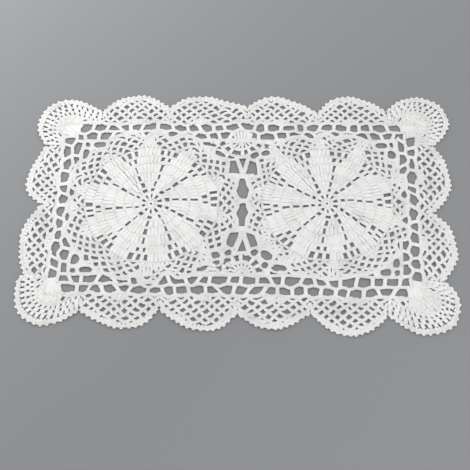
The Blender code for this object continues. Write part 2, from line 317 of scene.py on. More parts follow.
def soften(line: Line, times: int = 2, closed: bool = False) -> Line:
    """A line with its corners rounded off.

    Args:
        line: The line's points.
        times: How often each corner is cut.
        closed: Whether the last point joins the first.

    Returns:
        The rounded line, which repeats its first point at the end if it is closed.
    """
    for _ in range(times):
        ends = np.concatenate((line, line[:1])) if closed else line
        early = ends[:-1] * (1.0 - CORNER_CUT) + ends[1:] * CORNER_CUT
        late = ends[:-1] * CORNER_CUT + ends[1:] * (1.0 - CORNER_CUT)
        cut = np.stack((early, late), axis=1).reshape(-1, line.shape[1])
        line = cut if closed else np.concatenate((line[:1], cut[1:-1], line[-1:]))
    return np.concatenate((line, line[:1])) if closed else line


@dataclass(frozen=True)
class Swell:
    """One slow wave over the sheet: how far it moves the yarn, its two lengths and its start."""

    reach: float
    across: float
    away: float
    start: float


@dataclass(frozen=True)
class Hand:
    """The small unevenness of handwork, the same each time."""

    sway: tuple[Swell, ...] = (
        Swell(0.47, 61.0, 43.0, 0.3),
        Swell(0.33, -37.0, 71.0, 1.9),
        Swell(0.24, 23.0, 29.0, 4.1),
    )
    heave: tuple[Swell, ...] = (
        Swell(0.26, 88.0, 61.0, 0.8),
        Swell(0.18, -49.0, 57.0, 2.2),
        Swell(0.10, 27.0, -33.0, 5.0),
    )
    away_lag: float = 1.3
    still: float = 0.3

    def wave(self, swells: Sequence[Swell], points: np.ndarray, late: float) -> np.ndarray:
        """The sum of some waves at each point, begun late by an angle.

        Args:
            swells: The waves.
            points: Points, by their first two columns.
            late: The angle, in radians.

        Returns:
            The sum at each point.
        """
        total = np.zeros(points.shape[:-1])
        for swell in swells:
            phase = TURN * (points[..., 0] / swell.across + points[..., 1] / swell.away)
            total += swell.reach * np.sin(phase + swell.start + late)
        return total

    def settle(self, paths: np.ndarray) -> np.ndarray:
        """Moves paths of three-column points a little, and never lower than they were.

        Args:
            paths: The points of the paths.

        Returns:
            The moved points.
        """
        moved = paths.copy()
        moved[..., 0] += self.wave(self.sway, paths, 0.0)
        moved[..., 1] += self.wave(self.sway, paths, self.away_lag)
        moved[..., 2] += np.maximum(self.wave(self.heave, paths, 0.0) + self.still, 0.0)
        return moved


HAND = Hand()


class Work:
    """Crochet in progress: gathers its yarn and turns it into one mesh of closed strands."""

    def __init__(self, name: str, seed: int) -> None:
        """Starts a piece with a name, and with its own steady chance.

        Args:
            name: The piece's name.
            seed: The seed of its chance.
        """
        self.name = name
        self.chance = np.random.default_rng(seed)
        self.vertices: list[np.ndarray] = []
        self.faces: list[np.ndarray] = []
        self.ends: list[np.ndarray] = []
        self.side_uvs: list[np.ndarray] = []
        self.tones: list[np.ndarray] = []
        self.used = 0

    def tubes(self, paths: np.ndarray, sections: np.ndarray, stitch: Stitch) -> None:
        """Lays closed tubes that all have as many points and as many sides.

        Args:
            paths: Tubes by points by three, in millimetres.
            sections: Tubes by points by sides by two, each side's offset sideways and up.
            stitch: How the yarn runs over them.
        """
        paths = HAND.settle(paths)
        count, points, sides = sections.shape[:3]
        tangent = unit(np.gradient(paths, axis=1))
        aside = unit(np.cross(tangent, UP))
        above = np.cross(aside, tangent)
        rings = paths[:, :, None] + sections[..., :1] * aside[:, :, None]
        rings = rings + sections[..., 1:] * above[:, :, None]
        index = self.used + np.arange(count * points * sides).reshape(count, points, sides)
        turned = np.roll(index, -1, axis=2)
        quads = (index[:, :-1], index[:, 1:], turned[:, 1:], turned[:, :-1])
        self.faces.append(np.stack(quads, axis=-1).reshape(-1, 4))
        self.ends.append(np.concatenate((index[:, 0], index[:, -1, ::-1])))
        travel = np.linalg.norm(np.diff(paths, axis=1), axis=2).cumsum(axis=1)
        travel = np.concatenate((np.zeros((count, 1)), travel), axis=1)
        near, far = travel[:, :-1, None], travel[:, 1:, None]
        low = np.arange(sides)[None, None] / sides
        high = low + 1.0 / sides
        chain = stitch is Stitch.CHAIN
        pitch = GAUGE.chain_length / 2.0 if chain else GAUGE.wrap_pitch
        corners = ((near, low), (far, low), (far, high), (near, high))
        shape = (count, points - 1, sides)
        uvs = []
        for run, around in corners:
            skew = GAUGE.chain_skew * abs(2.0 * around - 1.0) if chain else around
            pair = (run / pitch + skew, around)
            uvs.append(np.stack([np.broadcast_to(part, shape) for part in pair], axis=-1))
        self.side_uvs.append(np.stack(uvs, axis=3).reshape(-1, 4, 2))
        self.vertices.append(rings.reshape(-1, 3))
        self.tones.append(np.repeat(self.chance.uniform(-1.0, 1.0, count), points * sides))
        self.used += count * points * sides

    def cord(
        self,
        line: Line,
        closed: bool = False,
        size: float = 1.0,
        lift: float = 0.0,
    ) -> None:
        """Works a chain: a flat cord of linked stitches, pinched where one meets the next.

        Args:
            line: The line that the chain follows.
            closed: Whether the line ends where it starts, so that its stitches have to meet.
            size: The chain's size against the gauge's.
            lift: How much higher than the gauge's the chain lies.
        """
        length = float(np.linalg.norm(np.diff(line, axis=0), axis=1).sum())
        stitches = max(1, round(length / (GAUGE.chain_length * size)))
        middle = resample(line, length / (stitches * GAUGE.samples), 3)
        height = np.full(len(middle), GAUGE.chain_middle + lift)
        phase = TURN * (np.arange(len(middle)) / GAUGE.samples + GAUGE.chain_start)
        sides = np.arange(GAUGE.chain_sides)
        around = TURN * (sides / GAUGE.chain_sides) - math.pi / 2.0
        grooved = np.where(sides == GAUGE.chain_sides // 2, GAUGE.chain_groove, 1.0)
        swell = 1.0 + GAUGE.chain_swell * np.cos(phase)
        heave = 1.0 + GAUGE.chain_heave * np.cos(phase - GAUGE.chain_lag)
        wide = GAUGE.chain_half_width * size
        high = GAUGE.chain_half_height * min(size, GAUGE.chain_thickest)
        if not closed:
            swell[[0, -1]] *= GAUGE.chain_end
        rise = np.sin(around) * grooved
        rise = np.where(rise < 0.0, rise * GAUGE.underside, rise)
        across = wide * swell[:, None] * np.cos(around)
        sections = np.stack((across, high * heave[:, None] * rise), axis=-1)
        self.tubes(np.column_stack((middle, height))[None], sections[None], Stitch.CHAIN)

    def wave(
        self,
        strip: Callable[[np.ndarray, np.ndarray], Line],
        loops: int,
        closed: bool = False,
        size: float = 1.0,
        lift: float = 0.0,
        power: float = GAUGE.net_power,
    ) -> None:
        """Works a row of chain loops, each hung from two knots and raised to a crest between.

        Args:
            strip: Gives the points at loops along the row and at shares of its height.
            loops: How many loops the row has.
            closed: Whether the row runs round to its start.
            size: The chain's size against the gauge's.
            lift: How much higher than the gauge's the chain lies.
            power: How pointed the loops are, from round arches at a half to points above one.
        """
        turn = np.arange(loops * GAUGE.loop_samples + 1) / GAUGE.loop_samples
        drift = self.chance.normal(0.0, GAUGE.loop_drift, loops + 1)
        drift[-1] = drift[0] if closed else 0.0
        drift[0] = drift[-1]
        place = turn + np.interp(turn, np.arange(loops + 1), drift)
        crests = 1.0 + self.chance.normal(0.0, GAUGE.crest_drift, loops)
        crest = crests[np.minimum(turn.astype(int), loops - 1)]
        rise = abs(np.sin(math.pi * turn)) ** power
        self.cord(strip(place, rise * crest), closed, size, lift)

    def posts(
        self,
        feet: Line,
        heads: Line,
        width: float | np.ndarray = 1.0,
        lift: float | np.ndarray = 0.0,
        flare: float = 0.0,
        thick: float = 1.0,
    ) -> None:
        """Works upright stitches: thick wound columns of yarn, each from a foot to a head.

        Args:
            feet: Where each stitch starts.
            heads: Where each stitch ends.
            width: The stitches' width against the gauge's, or each one's at foot and head.
            lift: How much higher than the gauge's each lies.
            flare: How much wider the stitches grow at both ends, where they are hooked in.
            thick: The stitches' thickness against the gauge's.
        """
        feet, heads = np.atleast_2d(feet), np.atleast_2d(heads)
        count, points, sides = len(feet), GAUGE.post_steps, GAUGE.post_sides
        if not count:
            return
        feet = feet + self.chance.normal(0.0, GAUGE.place_drift, feet.shape)
        heads = heads + self.chance.normal(0.0, GAUGE.place_drift, heads.shape)
        share = np.linspace(0.0, 1.0, points)
        flat = feet[:, None] + (heads - feet)[:, None] * share[None, :, None]
        bow = self.chance.normal(0.0, GAUGE.bow_drift, count)[:, None] * np.sin(math.pi * share)
        aside = left_of(unit(heads - feet))
        flat = flat + aside[:, None] * bow[..., None]
        height = GAUGE.post_middle + np.broadcast_to(lift, (count,))[:, None]
        height = height + GAUGE.post_arch * np.sin(math.pi * share)[None]
        paths = np.concatenate((flat, np.broadcast_to(height, (count, points))[..., None]), axis=2)
        start = self.chance.uniform(0.0, TURN, count)
        around = TURN * np.arange(sides) / sides
        kept = np.clip(share, GAUGE.post_round, 1.0 - GAUGE.post_round)
        swell = GAUGE.post_neck + (1.0 - GAUGE.post_neck) * np.sin(math.pi * kept) ** 0.5
        ripple = np.sin(2.0 * TURN * share[None] + start[:, None])
        body = swell[None] * (1.0 + GAUGE.post_ripple * ripple)
        ends = np.broadcast_to(np.asarray(width, dtype=float), (count, 2))
        wide = GAUGE.post_half_width * (ends[:, :1] * (1.0 - share) + ends[:, 1:] * share)
        wide = wide * (1.0 + flare * (2.0 * share - 1.0) ** 4)
        rise = np.sign(np.sin(around)) * abs(np.sin(around)) ** GAUGE.shoulder
        rise = np.where(rise < 0.0, rise * GAUGE.underside, rise)
        across = (body * wide)[..., None] * np.cos(around)
        sections = np.stack((across, body[..., None] * rise * GAUGE.post_half_height * thick), axis=-1)
        self.tubes(paths, sections, Stitch.POST)

    def strip(
        self,
        feet: Line,
        heads: Line,
        clear: Callable[[Line], np.ndarray] | None = None,
        fill: float = GAUGE.fill,
        least: float = GAUGE.shortest,
    ) -> None:
        """Works a close row of stitches side by side, each cut short where it has to keep clear.

        Args:
            feet: Where each stitch starts, in order.
            heads: Where each stitch ends.
            clear: Tells of each point whether yarn may lie there.
            fill: How much of the room between its neighbours each stitch takes.
            least: The shortest stitch worth making.
        """
        if len(feet) < 2:
            return
        room = [np.linalg.norm(np.gradient(line, axis=0), axis=1) for line in (feet, heads)]
        width = np.stack(room, axis=1) * fill / (2.0 * GAUGE.post_half_width)
        width = np.clip(width, GAUGE.narrowest, GAUGE.widest)
        if clear is None:
            long = np.linalg.norm(heads - feet, axis=1) > least
            self.posts(feet[long], heads[long], width[long])
            return
        starts, ends, widths = [], [], []
        for foot, head, wide in zip(feet, heads, width):
            length = float(np.linalg.norm(head - foot))
            share = np.linspace(0.0, 1.0, max(3, int(length / GAUGE.clear_step)))
            free = np.concatenate(([False], clear(foot + (head - foot) * share[:, None]), [False]))
            turns = np.flatnonzero(np.diff(free.astype(int)))
            for first, last in zip(turns[::2], turns[1::2] - 1):
                if (share[last] - share[first]) * length > least:
                    starts.append(foot + (head - foot) * share[first])
                    ends.append(foot + (head - foot) * share[last])
                    widths.append(wide)
        if starts:
            self.posts(np.array(starts), np.array(ends), np.array(widths))

    def ladder(
        self,
        feet: Line,
        heads: Line,
        pitch: float = GAUGE.post_pitch,
        clear: Callable[[Line], np.ndarray] | None = None,
        fill: float = GAUGE.fill,
        least: float = GAUGE.shortest,
    ) -> None:
        """Fills the room between two lines with stitches.

        Args:
            feet: The line that the stitches start on.
            heads: The line that they reach, run the same way.
            pitch: The distance between stitches, halfway up them.
            clear: Tells of each point whether yarn may lie there.
            fill: How much of the room between its neighbours each stitch takes.
            least: The shortest stitch worth making.
        """
        low, high = resample_pair(feet, heads, LINE_POINTS)
        middle = (low + high) / 2.0
        travel = np.concatenate(([0.0], np.linalg.norm(np.diff(middle, axis=0), axis=1).cumsum()))
        count = max(2, int(round(travel[-1] / pitch)))
        where = (np.arange(count) + 0.5) / count * travel[-1]
        picked = [
            np.stack([np.interp(where, travel, line[:, axis]) for axis in (0, 1)], axis=1)
            for line in (low, high)
        ]
        self.strip(picked[0], picked[1], clear, fill, least)

    def finish(self) -> bpy.types.Object:
        """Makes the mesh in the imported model's frame, with its yarn map and its shades.

        Returns:
            The finished piece, at the origin.
        """
        vertices = np.concatenate(self.vertices)
        vertices[:, :2] += CHART_SHIFT
        vertices *= MM
        quads = np.concatenate(self.faces)
        loops = [quads.reshape(-1)] + [ends.reshape(-1) for ends in self.ends]
        sizes = [np.full(len(quads), 4)] + [np.full(len(e), e.shape[1]) for e in self.ends]
        uvs = [np.concatenate(self.side_uvs).reshape(-1, 2)]
        uvs += [np.full((ends.size, 2), 0.5) for ends in self.ends]
        sizes = np.concatenate(sizes).astype(np.int32)
        mesh = bpy.data.meshes.new(self.name)
        mesh.vertices.add(len(vertices))
        mesh.vertices.foreach_set("co", vertices.astype(np.float32).reshape(-1))
        mesh.loops.add(int(sizes.sum()))
        mesh.loops.foreach_set("vertex_index", np.concatenate(loops).astype(np.int32))
        mesh.polygons.add(len(sizes))
        starts = np.concatenate(([0], np.cumsum(sizes)[:-1])).astype(np.int32)
        mesh.polygons.foreach_set("loop_start", starts)
        mesh.polygons.foreach_set("use_smooth", np.ones(len(sizes), dtype=bool))
        layer = mesh.uv_layers.new(name="yarn")
        layer.uv.foreach_set("vector", np.concatenate(uvs).astype(np.float32).reshape(-1))
        tone = mesh.attributes.new("tone", "FLOAT", "POINT")
        tone.data.foreach_set("value", np.concatenate(self.tones).astype(np.float32))
        mesh.update()
        mesh.validate()
        piece = bpy.data.objects.new(self.name, mesh)
        bpy.context.scene.collection.objects.link(piece)
        return piece


def resample_pair(first: Line, second: Line, count: int) -> tuple[Line, Line]:
    """Two lines, each at as many even points.

    Args:
        first: One line.
        second: The other line.
        count: How many points.

    Returns:
        The two lines' new points.
    """
    lines = []
    for line in (first, second):
        travel = np.concatenate(([0.0], np.linalg.norm(np.diff(line, axis=0), axis=1).cumsum()))
        where = np.linspace(0.0, travel[-1], count)
        lines.append(np.stack([np.interp(where, travel, line[:, axis]) for axis in (0, 1)], 1))
    return lines[0], lines[1]


@dataclass(frozen=True)
class RailPush:
    """A place where a long rail is pushed out: its side, how far, and how widely."""

    x: float
    side: int
    reach: float
    spread: float


@dataclass
class Rails:
    """The three chain rails of the mesh frame, each by its corners clockwise from upper left."""

    outer: tuple = ((-187.5, 106.5), (192.0, 106.0), (184.5, -106.0), (-194.5, -100.0))
    middle: tuple = ((-177.0, 95.5), (180.5, 95.0), (173.5, -94.0), (-183.5, -89.0))
    inner: tuple = ((-167.0, 85.0), (171.0, 84.5), (164.5, -82.5), (-173.0, -78.0))
    cells: tuple = (24, 12, 24, 12)
    pushes: tuple = (
        RailPush(-91.0, 0, 2.4, 26.0),
        RailPush(93.0, 0, 1.2, 26.0),
        RailPush(5.0, 0, 5.0, 9.0),
        RailPush(-91.0, 2, 1.2, 26.0),
        RailPush(118.0, 2, 2.6, 30.0),
    )

    def side_of(self, rail: tuple, side: int) -> tuple[np.ndarray, np.ndarray]:
        """The two ends of one side of a rail."""
        return np.array(rail[side]), np.array(rail[(side + 1) % len(rail)])

    def outward(self, side: int) -> np.ndarray:
        """The direction out of the frame at one side."""
        start, end = self.side_of(self.middle, side)
        return unit(left_of(end - start))

    def point(self, rail: tuple, side: int, share: float) -> np.ndarray:
        """The point of a rail that faces a share of the middle rail's same side.

        Args:
            rail: The rail, by its corners.
            side: The side, from the top clockwise.
            share: The share along the middle rail.

        Returns:
            The point.
        """
        start, end = self.side_of(self.middle, side)
        facing = start + (end - start) * share
        start, end = self.side_of(rail, side)
        run = unit(end - start)
        point = start + run * ((facing - start) @ run)
        if rail is not self.inner:
            for push in self.pushes:
                if push.side == side:
                    bump = math.exp(-(((point[0] - push.x) / push.spread) ** 2))
                    point = point + left_of(run) * push.reach * bump
        return point


RAILS = Rails()


@dataclass(frozen=True)
class PetalGap:
    """One gap between two petals: its angle at the petals' ends, and how far it leans inwards."""

    angle: float
    lean: float


@dataclass(frozen=True)
class Shells:
    """A sector of a medallion's netting that is worked close instead, over some of its rows."""

    angle: float
    spread: float
    first_row: int
    last_row: int

    def angles(self) -> np.ndarray:
        """Angles over the sector, in radians."""
        middle, spread = math.radians(self.angle), math.radians(self.spread)
        return np.linspace(middle - spread, middle + spread, SECTOR_POINTS)


@dataclass
class Medallion:
    """A round medallion: ten petals of upright stitches, then netting, then a close edge."""

    name: str
    x: float
    y: float
    gaps: tuple[PetalGap, ...]
    shells: tuple[Shells, ...]
    seed: int
    reach: float = 1.0
    rounds: tuple = (5.6, 12.9, 20.0, 29.1, 39.1, 51.0, 60.2, 69.8)
    openings: tuple = (2.2, 2.7, 2.7, 2.5, 2.0, 2.2, 3.3)
    gap_posts: tuple = (0, 0, 0, 0, 0, 1, 2)
    bar_sizes: tuple = (1.2, 1.0, 1.1, 1.25, 1.5, 1.1)
    looseness: float = 0.26
    net_rows: tuple = (0.0, 0.25, 0.5, 0.75, 1.0)
    net_loops: int = 45
    net_size: float = 1.06
    tip_spreads: tuple = (7.5, 3.0)
    edge_radius: float = 94.0
    edge_width: float = 4.2
    edge_size: float = 1.12
    squareness: float = 0.02
    edge_search: tuple = (76.0, 97.0, 0.25)
    edge_farthest: float = 99.0
    edge_lift: float = 0.2
    rail_room: float = 1.2
    gap_room: float = 1.9
    join_room: float = 0.3
    blur_reach: int = 6
    blur_width: float = 3.0
    overlap: float = 0.6
    edge_overlap: float = 1.0
    lean_radius: float = 20.0
    lean_least: float = 12.0
    lean_start: float = 0.3
    post: float = 4.2
    petal_fill: float = 1.14
    petal_crown: float = 0.5
    petal_thickness: float = 0.78
    hub_ring: tuple = (0.8, 0.3)
    end_ring: tuple = (0.9, -0.35)
    hub_posts: int = 8
    hub_radii: tuple = (1.2, 5.0)
    hub_twist: float = 0.2
    hub_post: tuple = (0.8, 0.1)
    bar_overlap: float = 0.7
    bar_points: int = 9
    bar_lift: float = 0.15
    shell_fill: float = 0.94
    angles: np.ndarray = field(default_factory=lambda: np.radians(np.arange(0.0, 360.0, 0.5)))
    edge: np.ndarray = field(init=False)

    def __post_init__(self) -> None:
        """Works out the edge's radius at every half degree."""
        self.edge = self.edge_line()

    def at(self, radius: float | np.ndarray, angle: float | np.ndarray) -> Line:
        """The points at a radius and an angle, in radians, from the medallion's middle.

        Args:
            radius: The distance from the middle.
            angle: The angle.

        Returns:
            The points.
        """
        radius, angle = np.broadcast_arrays(radius, angle)
        across = self.x + radius * np.cos(angle)
        return np.stack((across, self.y + radius * np.sin(angle)), axis=-1)

    def edge_line(self) -> np.ndarray:
        """The edge's radius at each angle: squarish, inside the frame and clear of its gaps.

        Returns:
            The radius at each of the medallion's angles.
        """
        radius = self.edge_radius * (1.0 - self.squareness * np.cos(4.0 * self.angles))
        tried = np.arange(*self.edge_search)
        spots = self.at(tried[None], self.angles[:, None])
        blocked = np.zeros(spots.shape[:2], dtype=bool)
        for side in range(4):
            start, _ = RAILS.side_of(RAILS.middle, side)
            outward = RAILS.outward(side)
            blocked |= (spots - start) @ outward > -self.rail_room
        for gap in (*BAND_GAPS, *CORNER_GAPS, *JOIN_SIDE_GAPS):
            blocked |= gap.holds(spots, self.gap_room)
        for corners in JOIN_GAPS:
            blocked |= inside(spots, corners, self.join_room)
        first = np.where(blocked.any(axis=1), tried[blocked.argmax(axis=1)], self.edge_farthest)
        radius = np.minimum(radius, first)
        reach = self.blur_reach
        wide = np.exp(-((np.arange(-reach, reach + 1) / self.blur_width) ** 2))
        padded = np.concatenate((radius[-reach:], radius, radius[:reach]))
        return np.convolve(padded, wide / wide.sum(), mode="valid")

    def edge_at(self, angle: float | np.ndarray) -> np.ndarray:
        """The edge's radius at an angle in radians."""
        return np.interp(np.mod(angle, TURN), self.angles, self.edge, period=TURN)

    def net_radius(self, share: float, angle: float | np.ndarray) -> np.ndarray:
        """The netting's radius at a share of the way from the petals to the close edge.

        Args:
            share: The share of the way outwards.
            angle: The angle.

        Returns:
            The radius at each angle.
        """
        start = self.rounds[-1] * self.reach + self.overlap
        radius = start + (self.edge_radius - self.edge_width - start) * share
        return np.minimum(radius, self.edge_at(angle) - 0.5 * self.edge_width)

    def holds(self, point: np.ndarray) -> bool:
        """Whether a point lies inside the medallion's edge."""
        offset = point - np.array((self.x, self.y))
        return float(np.hypot(*offset)) < float(self.edge_at(math.atan2(offset[1], offset[0])))

    def gap_angle(self, gap: PetalGap, radius: float) -> float:
        """A petal gap's angle, in radians, at a radius."""
        share = self.lean_radius / max(radius / self.reach, self.lean_least) - self.lean_start
        return math.radians(gap.angle + gap.lean * share)

    def petals(self, work: Work) -> None:
        """Works the rounds of posts that make the ten petals and the gaps between them.

        Args:
            work: The piece's work in progress.
        """
        feet, heads, tapers, lifts = [], [], [], []
        for row, (low, high) in enumerate(zip(self.rounds[:-1], self.rounds[1:])):
            low, high = low * self.reach, high * self.reach
            middle = (low + high) / 2.0
            for index, gap in enumerate(self.gaps):
                following = self.gaps[(index + 1) % len(self.gaps)]
                held = self.gap_posts[row]
                loose = 1.0 + work.chance.normal(0.0, self.looseness)
                pitch = self.openings[row] * loose + self.post
                margin = (held + 1) * pitch / 2.0 if self.openings[row] else GAUGE.post_pitch / 2.0
                start = self.gap_angle(gap, middle)
                span = (self.gap_angle(following, middle) - start) % TURN
                room = span * middle - 2.0 * margin
                steps = max(0, int(round(room / GAUGE.post_pitch)))
                places = [span * middle / 2.0]
                if steps:
                    places = [margin + room * step / steps for step in range(steps + 1)]
                wide = room / steps * self.petal_fill if steps else GAUGE.post_pitch
                widths = [wide] * len(places) + [self.post] * held
                places += [(step - (held - 1) / 2.0) * pitch for step in range(held)]
                for place, wide in zip(places, widths):
                    across = place / (span * middle)
                    ends = []
                    for radius in (low - GAUGE.post_tuck, high + GAUGE.post_tuck):
                        first = self.gap_angle(gap, radius)
                        whole = (self.gap_angle(following, radius) - first) % TURN
                        ends.append(self.at(radius, first + whole * across))
                    feet.append(ends[0])
                    heads.append(ends[1])
                    taper = np.array((low, high)) / middle
                    tapers.append(taper * wide / (2.0 * GAUGE.post_half_width))
                    crown = math.sin(math.pi * min(max(across, 0.0), 1.0))
                    lifts.append(self.petal_crown * crown)
        columns = [np.array(column) for column in (feet, heads, tapers, lifts)]
        work.posts(*columns, thick=self.petal_thickness)
        turn = np.linspace(0.0, TURN, RING_POINTS)
        work.cord(self.at(self.rounds[0] * self.reach, turn), True, *self.hub_ring)
        work.cord(self.at(self.rounds[-1] * self.reach, turn), True, *self.end_ring)
        self.bars(work)
        hub = np.linspace(0.0, TURN, self.hub_posts, endpoint=False)
        foot, head = self.hub_radii
        work.posts(self.at(foot, hub), self.at(head, hub + self.hub_twist), *self.hub_post)

    def bars(self, work: Work) -> None:
        """Works the thick chains that cross the gaps between petals, one a round.

        Args:
            work: The piece's work in progress.
        """
        for row, (low, size) in enumerate(zip(self.rounds[1:-1], self.bar_sizes), start=1):
            radius = low * self.reach
            pitch = self.openings[row] + self.post
            reach = ((self.gap_posts[row] + 1) * pitch / 2.0 + self.bar_overlap) / radius
            for gap in self.gaps:
                middle = self.gap_angle(gap, radius)
                angle = np.linspace(middle - reach, middle + reach, self.bar_points)
                work.cord(self.at(radius, angle), size=size, lift=self.bar_lift)

    def netting(self, work: Work) -> None:
        """Works the rows of chain loops beyond the petals, each hung on the last one's crests.

        Args:
            work: The piece's work in progress.
        """
        pitch = TURN / self.net_loops
        for row, (low, high) in enumerate(zip(self.net_rows[:-1], self.net_rows[1:])):
            start = math.radians(self.gaps[0].angle) + (row % 2) * pitch / 2.0

            def strip(turn: np.ndarray, share: np.ndarray) -> Line:
                """The points at loops along this row and at shares of its height."""
                angle = start + turn * pitch
                near, far = self.net_radius(low, angle), self.net_radius(high, angle)
                return self.at(near + (far - near) * share, angle)

            work.wave(strip, self.net_loops, True, self.net_size)
            self.shell_posts(work, row, low, high)

    def shell_posts(self, work: Work, row: int, low: float, high: float) -> None:
        """Works one row's close sectors: the chart's, and the petals' tips in the first rows.

        Args:
            work: The piece's work in progress.
            row: The row, from the petals outwards.
            low: Where the row starts, as a share of the netting.
            high: Where it ends.
        """
        sectors = [shell for shell in self.shells if shell.first_row <= row <= shell.last_row]
        for spread in self.tip_spreads[row : row + 1]:
            for gap, following in zip(self.gaps, (*self.gaps[1:], self.gaps[0])):
                span = (following.angle - gap.angle) % 360.0
                sectors.append(Shells(gap.angle + span / 2.0, spread, row, row))
        for angle in (sector.angles() for sector in sectors):
            inner = self.at(self.net_radius(low, angle) - self.overlap, angle)
            outer = self.at(self.net_radius(high, angle) + self.overlap, angle)
            work.ladder(inner, outer, fill=self.shell_fill)

    def close_edge(self, work: Work) -> None:
        """Works the tight last row of loops, with a chain on its crests and shells over it.

        Args:
            work: The piece's work in progress.
        """
        pitch = TURN / self.net_loops
        start = math.radians(self.gaps[0].angle) + (len(self.net_rows) % 2 + 1) * pitch / 2.0

        def strip(turn: np.ndarray, share: np.ndarray) -> Line:
            """The points at loops along the last row and at shares of its height."""
            angle = start + turn * pitch
            near = self.net_radius(1.0, angle)
            far = self.edge_at(angle) - self.edge_overlap
            return self.at(near + (far - near) * share, angle)

        work.wave(strip, self.net_loops, True, self.edge_size)
        turn = np.linspace(0.0, TURN, 2 * RING_POINTS - 1)
        work.cord(self.at(self.edge_at(turn), turn), True, self.edge_size, self.edge_lift)
        for angle in (sector.angles() for sector in self.shells):
            inner = self.at(self.net_radius(1.0, angle) - self.overlap, angle)
            work.ladder(inner, self.at(self.edge_at(angle), angle), fill=self.shell_fill)

    def build(self) -> bpy.types.Object:
        """Works the whole medallion.

        Returns:
            The finished piece.
        """
        work = Work(self.name, self.seed)
        self.petals(work)
        self.netting(work)
        self.close_edge(work)
        return work.finish()

    def flat_size(self) -> tuple[tuple[float, float], float]:
        """The medallion's width and length, and its flat area, in metres.

        Returns:
            Its width and length, and its flat area.
        """
        outer = self.edge + GAUGE.chain_half_width
        across = 2.0 * float(outer.max()) * MM
        area = float((outer**2).mean()) * math.pi * MM * MM
        return (across, across), area


LEFT = Medallion(
    name="medallion_left",
    x=-91.0,
    y=4.5,
    gaps=(
        PetalGap(5.0, 12.0),
        PetalGap(41.0, 14.0),
        PetalGap(76.0, 14.0),
        PetalGap(113.0, 5.0),
        PetalGap(149.0, 3.0),
        PetalGap(187.0, 6.0),
        PetalGap(224.0, 5.0),
        PetalGap(259.5, 5.0),
        PetalGap(295.0, 6.0),
        PetalGap(333.0, 8.0),
    ),
    shells=(
        Shells(94.0, 5.0, 1, 2),
        Shells(268.0, 5.0, 0, 2),
        Shells(48.0, 7.0, 3, 3),
        Shells(312.0, 5.0, 2, 3),
        Shells(182.0, 4.0, 2, 3),
    ),
    seed=11,
)
RIGHT = Medallion(
    name="medallion_right",
    x=93.0,
    y=4.5,
    gaps=(
        PetalGap(2.0, 14.0),
        PetalGap(43.0, 10.0),
        PetalGap(77.0, 10.0),
        PetalGap(114.0, 6.0),
        PetalGap(150.0, 3.0),
        PetalGap(186.0, 1.0),
        PetalGap(223.0, 9.0),
        PetalGap(260.0, 8.0),
        PetalGap(291.0, 9.0),
        PetalGap(322.5, 12.0),
    ),
    shells=(
        Shells(62.0, 4.0, 0, 3),
        Shells(94.0, 4.0, 0, 2),
        Shells(130.0, 4.0, 0, 3),
        Shells(218.0, 10.0, 1, 3),
        Shells(236.0, 5.0, 2, 3),
        Shells(272.0, 4.0, 0, 3),
        Shells(20.0, 4.0, 2, 3),
    ),
    seed=12,
    reach=0.975,
    edge_radius=90.5,
)
MEDALLIONS = (LEFT, RIGHT)


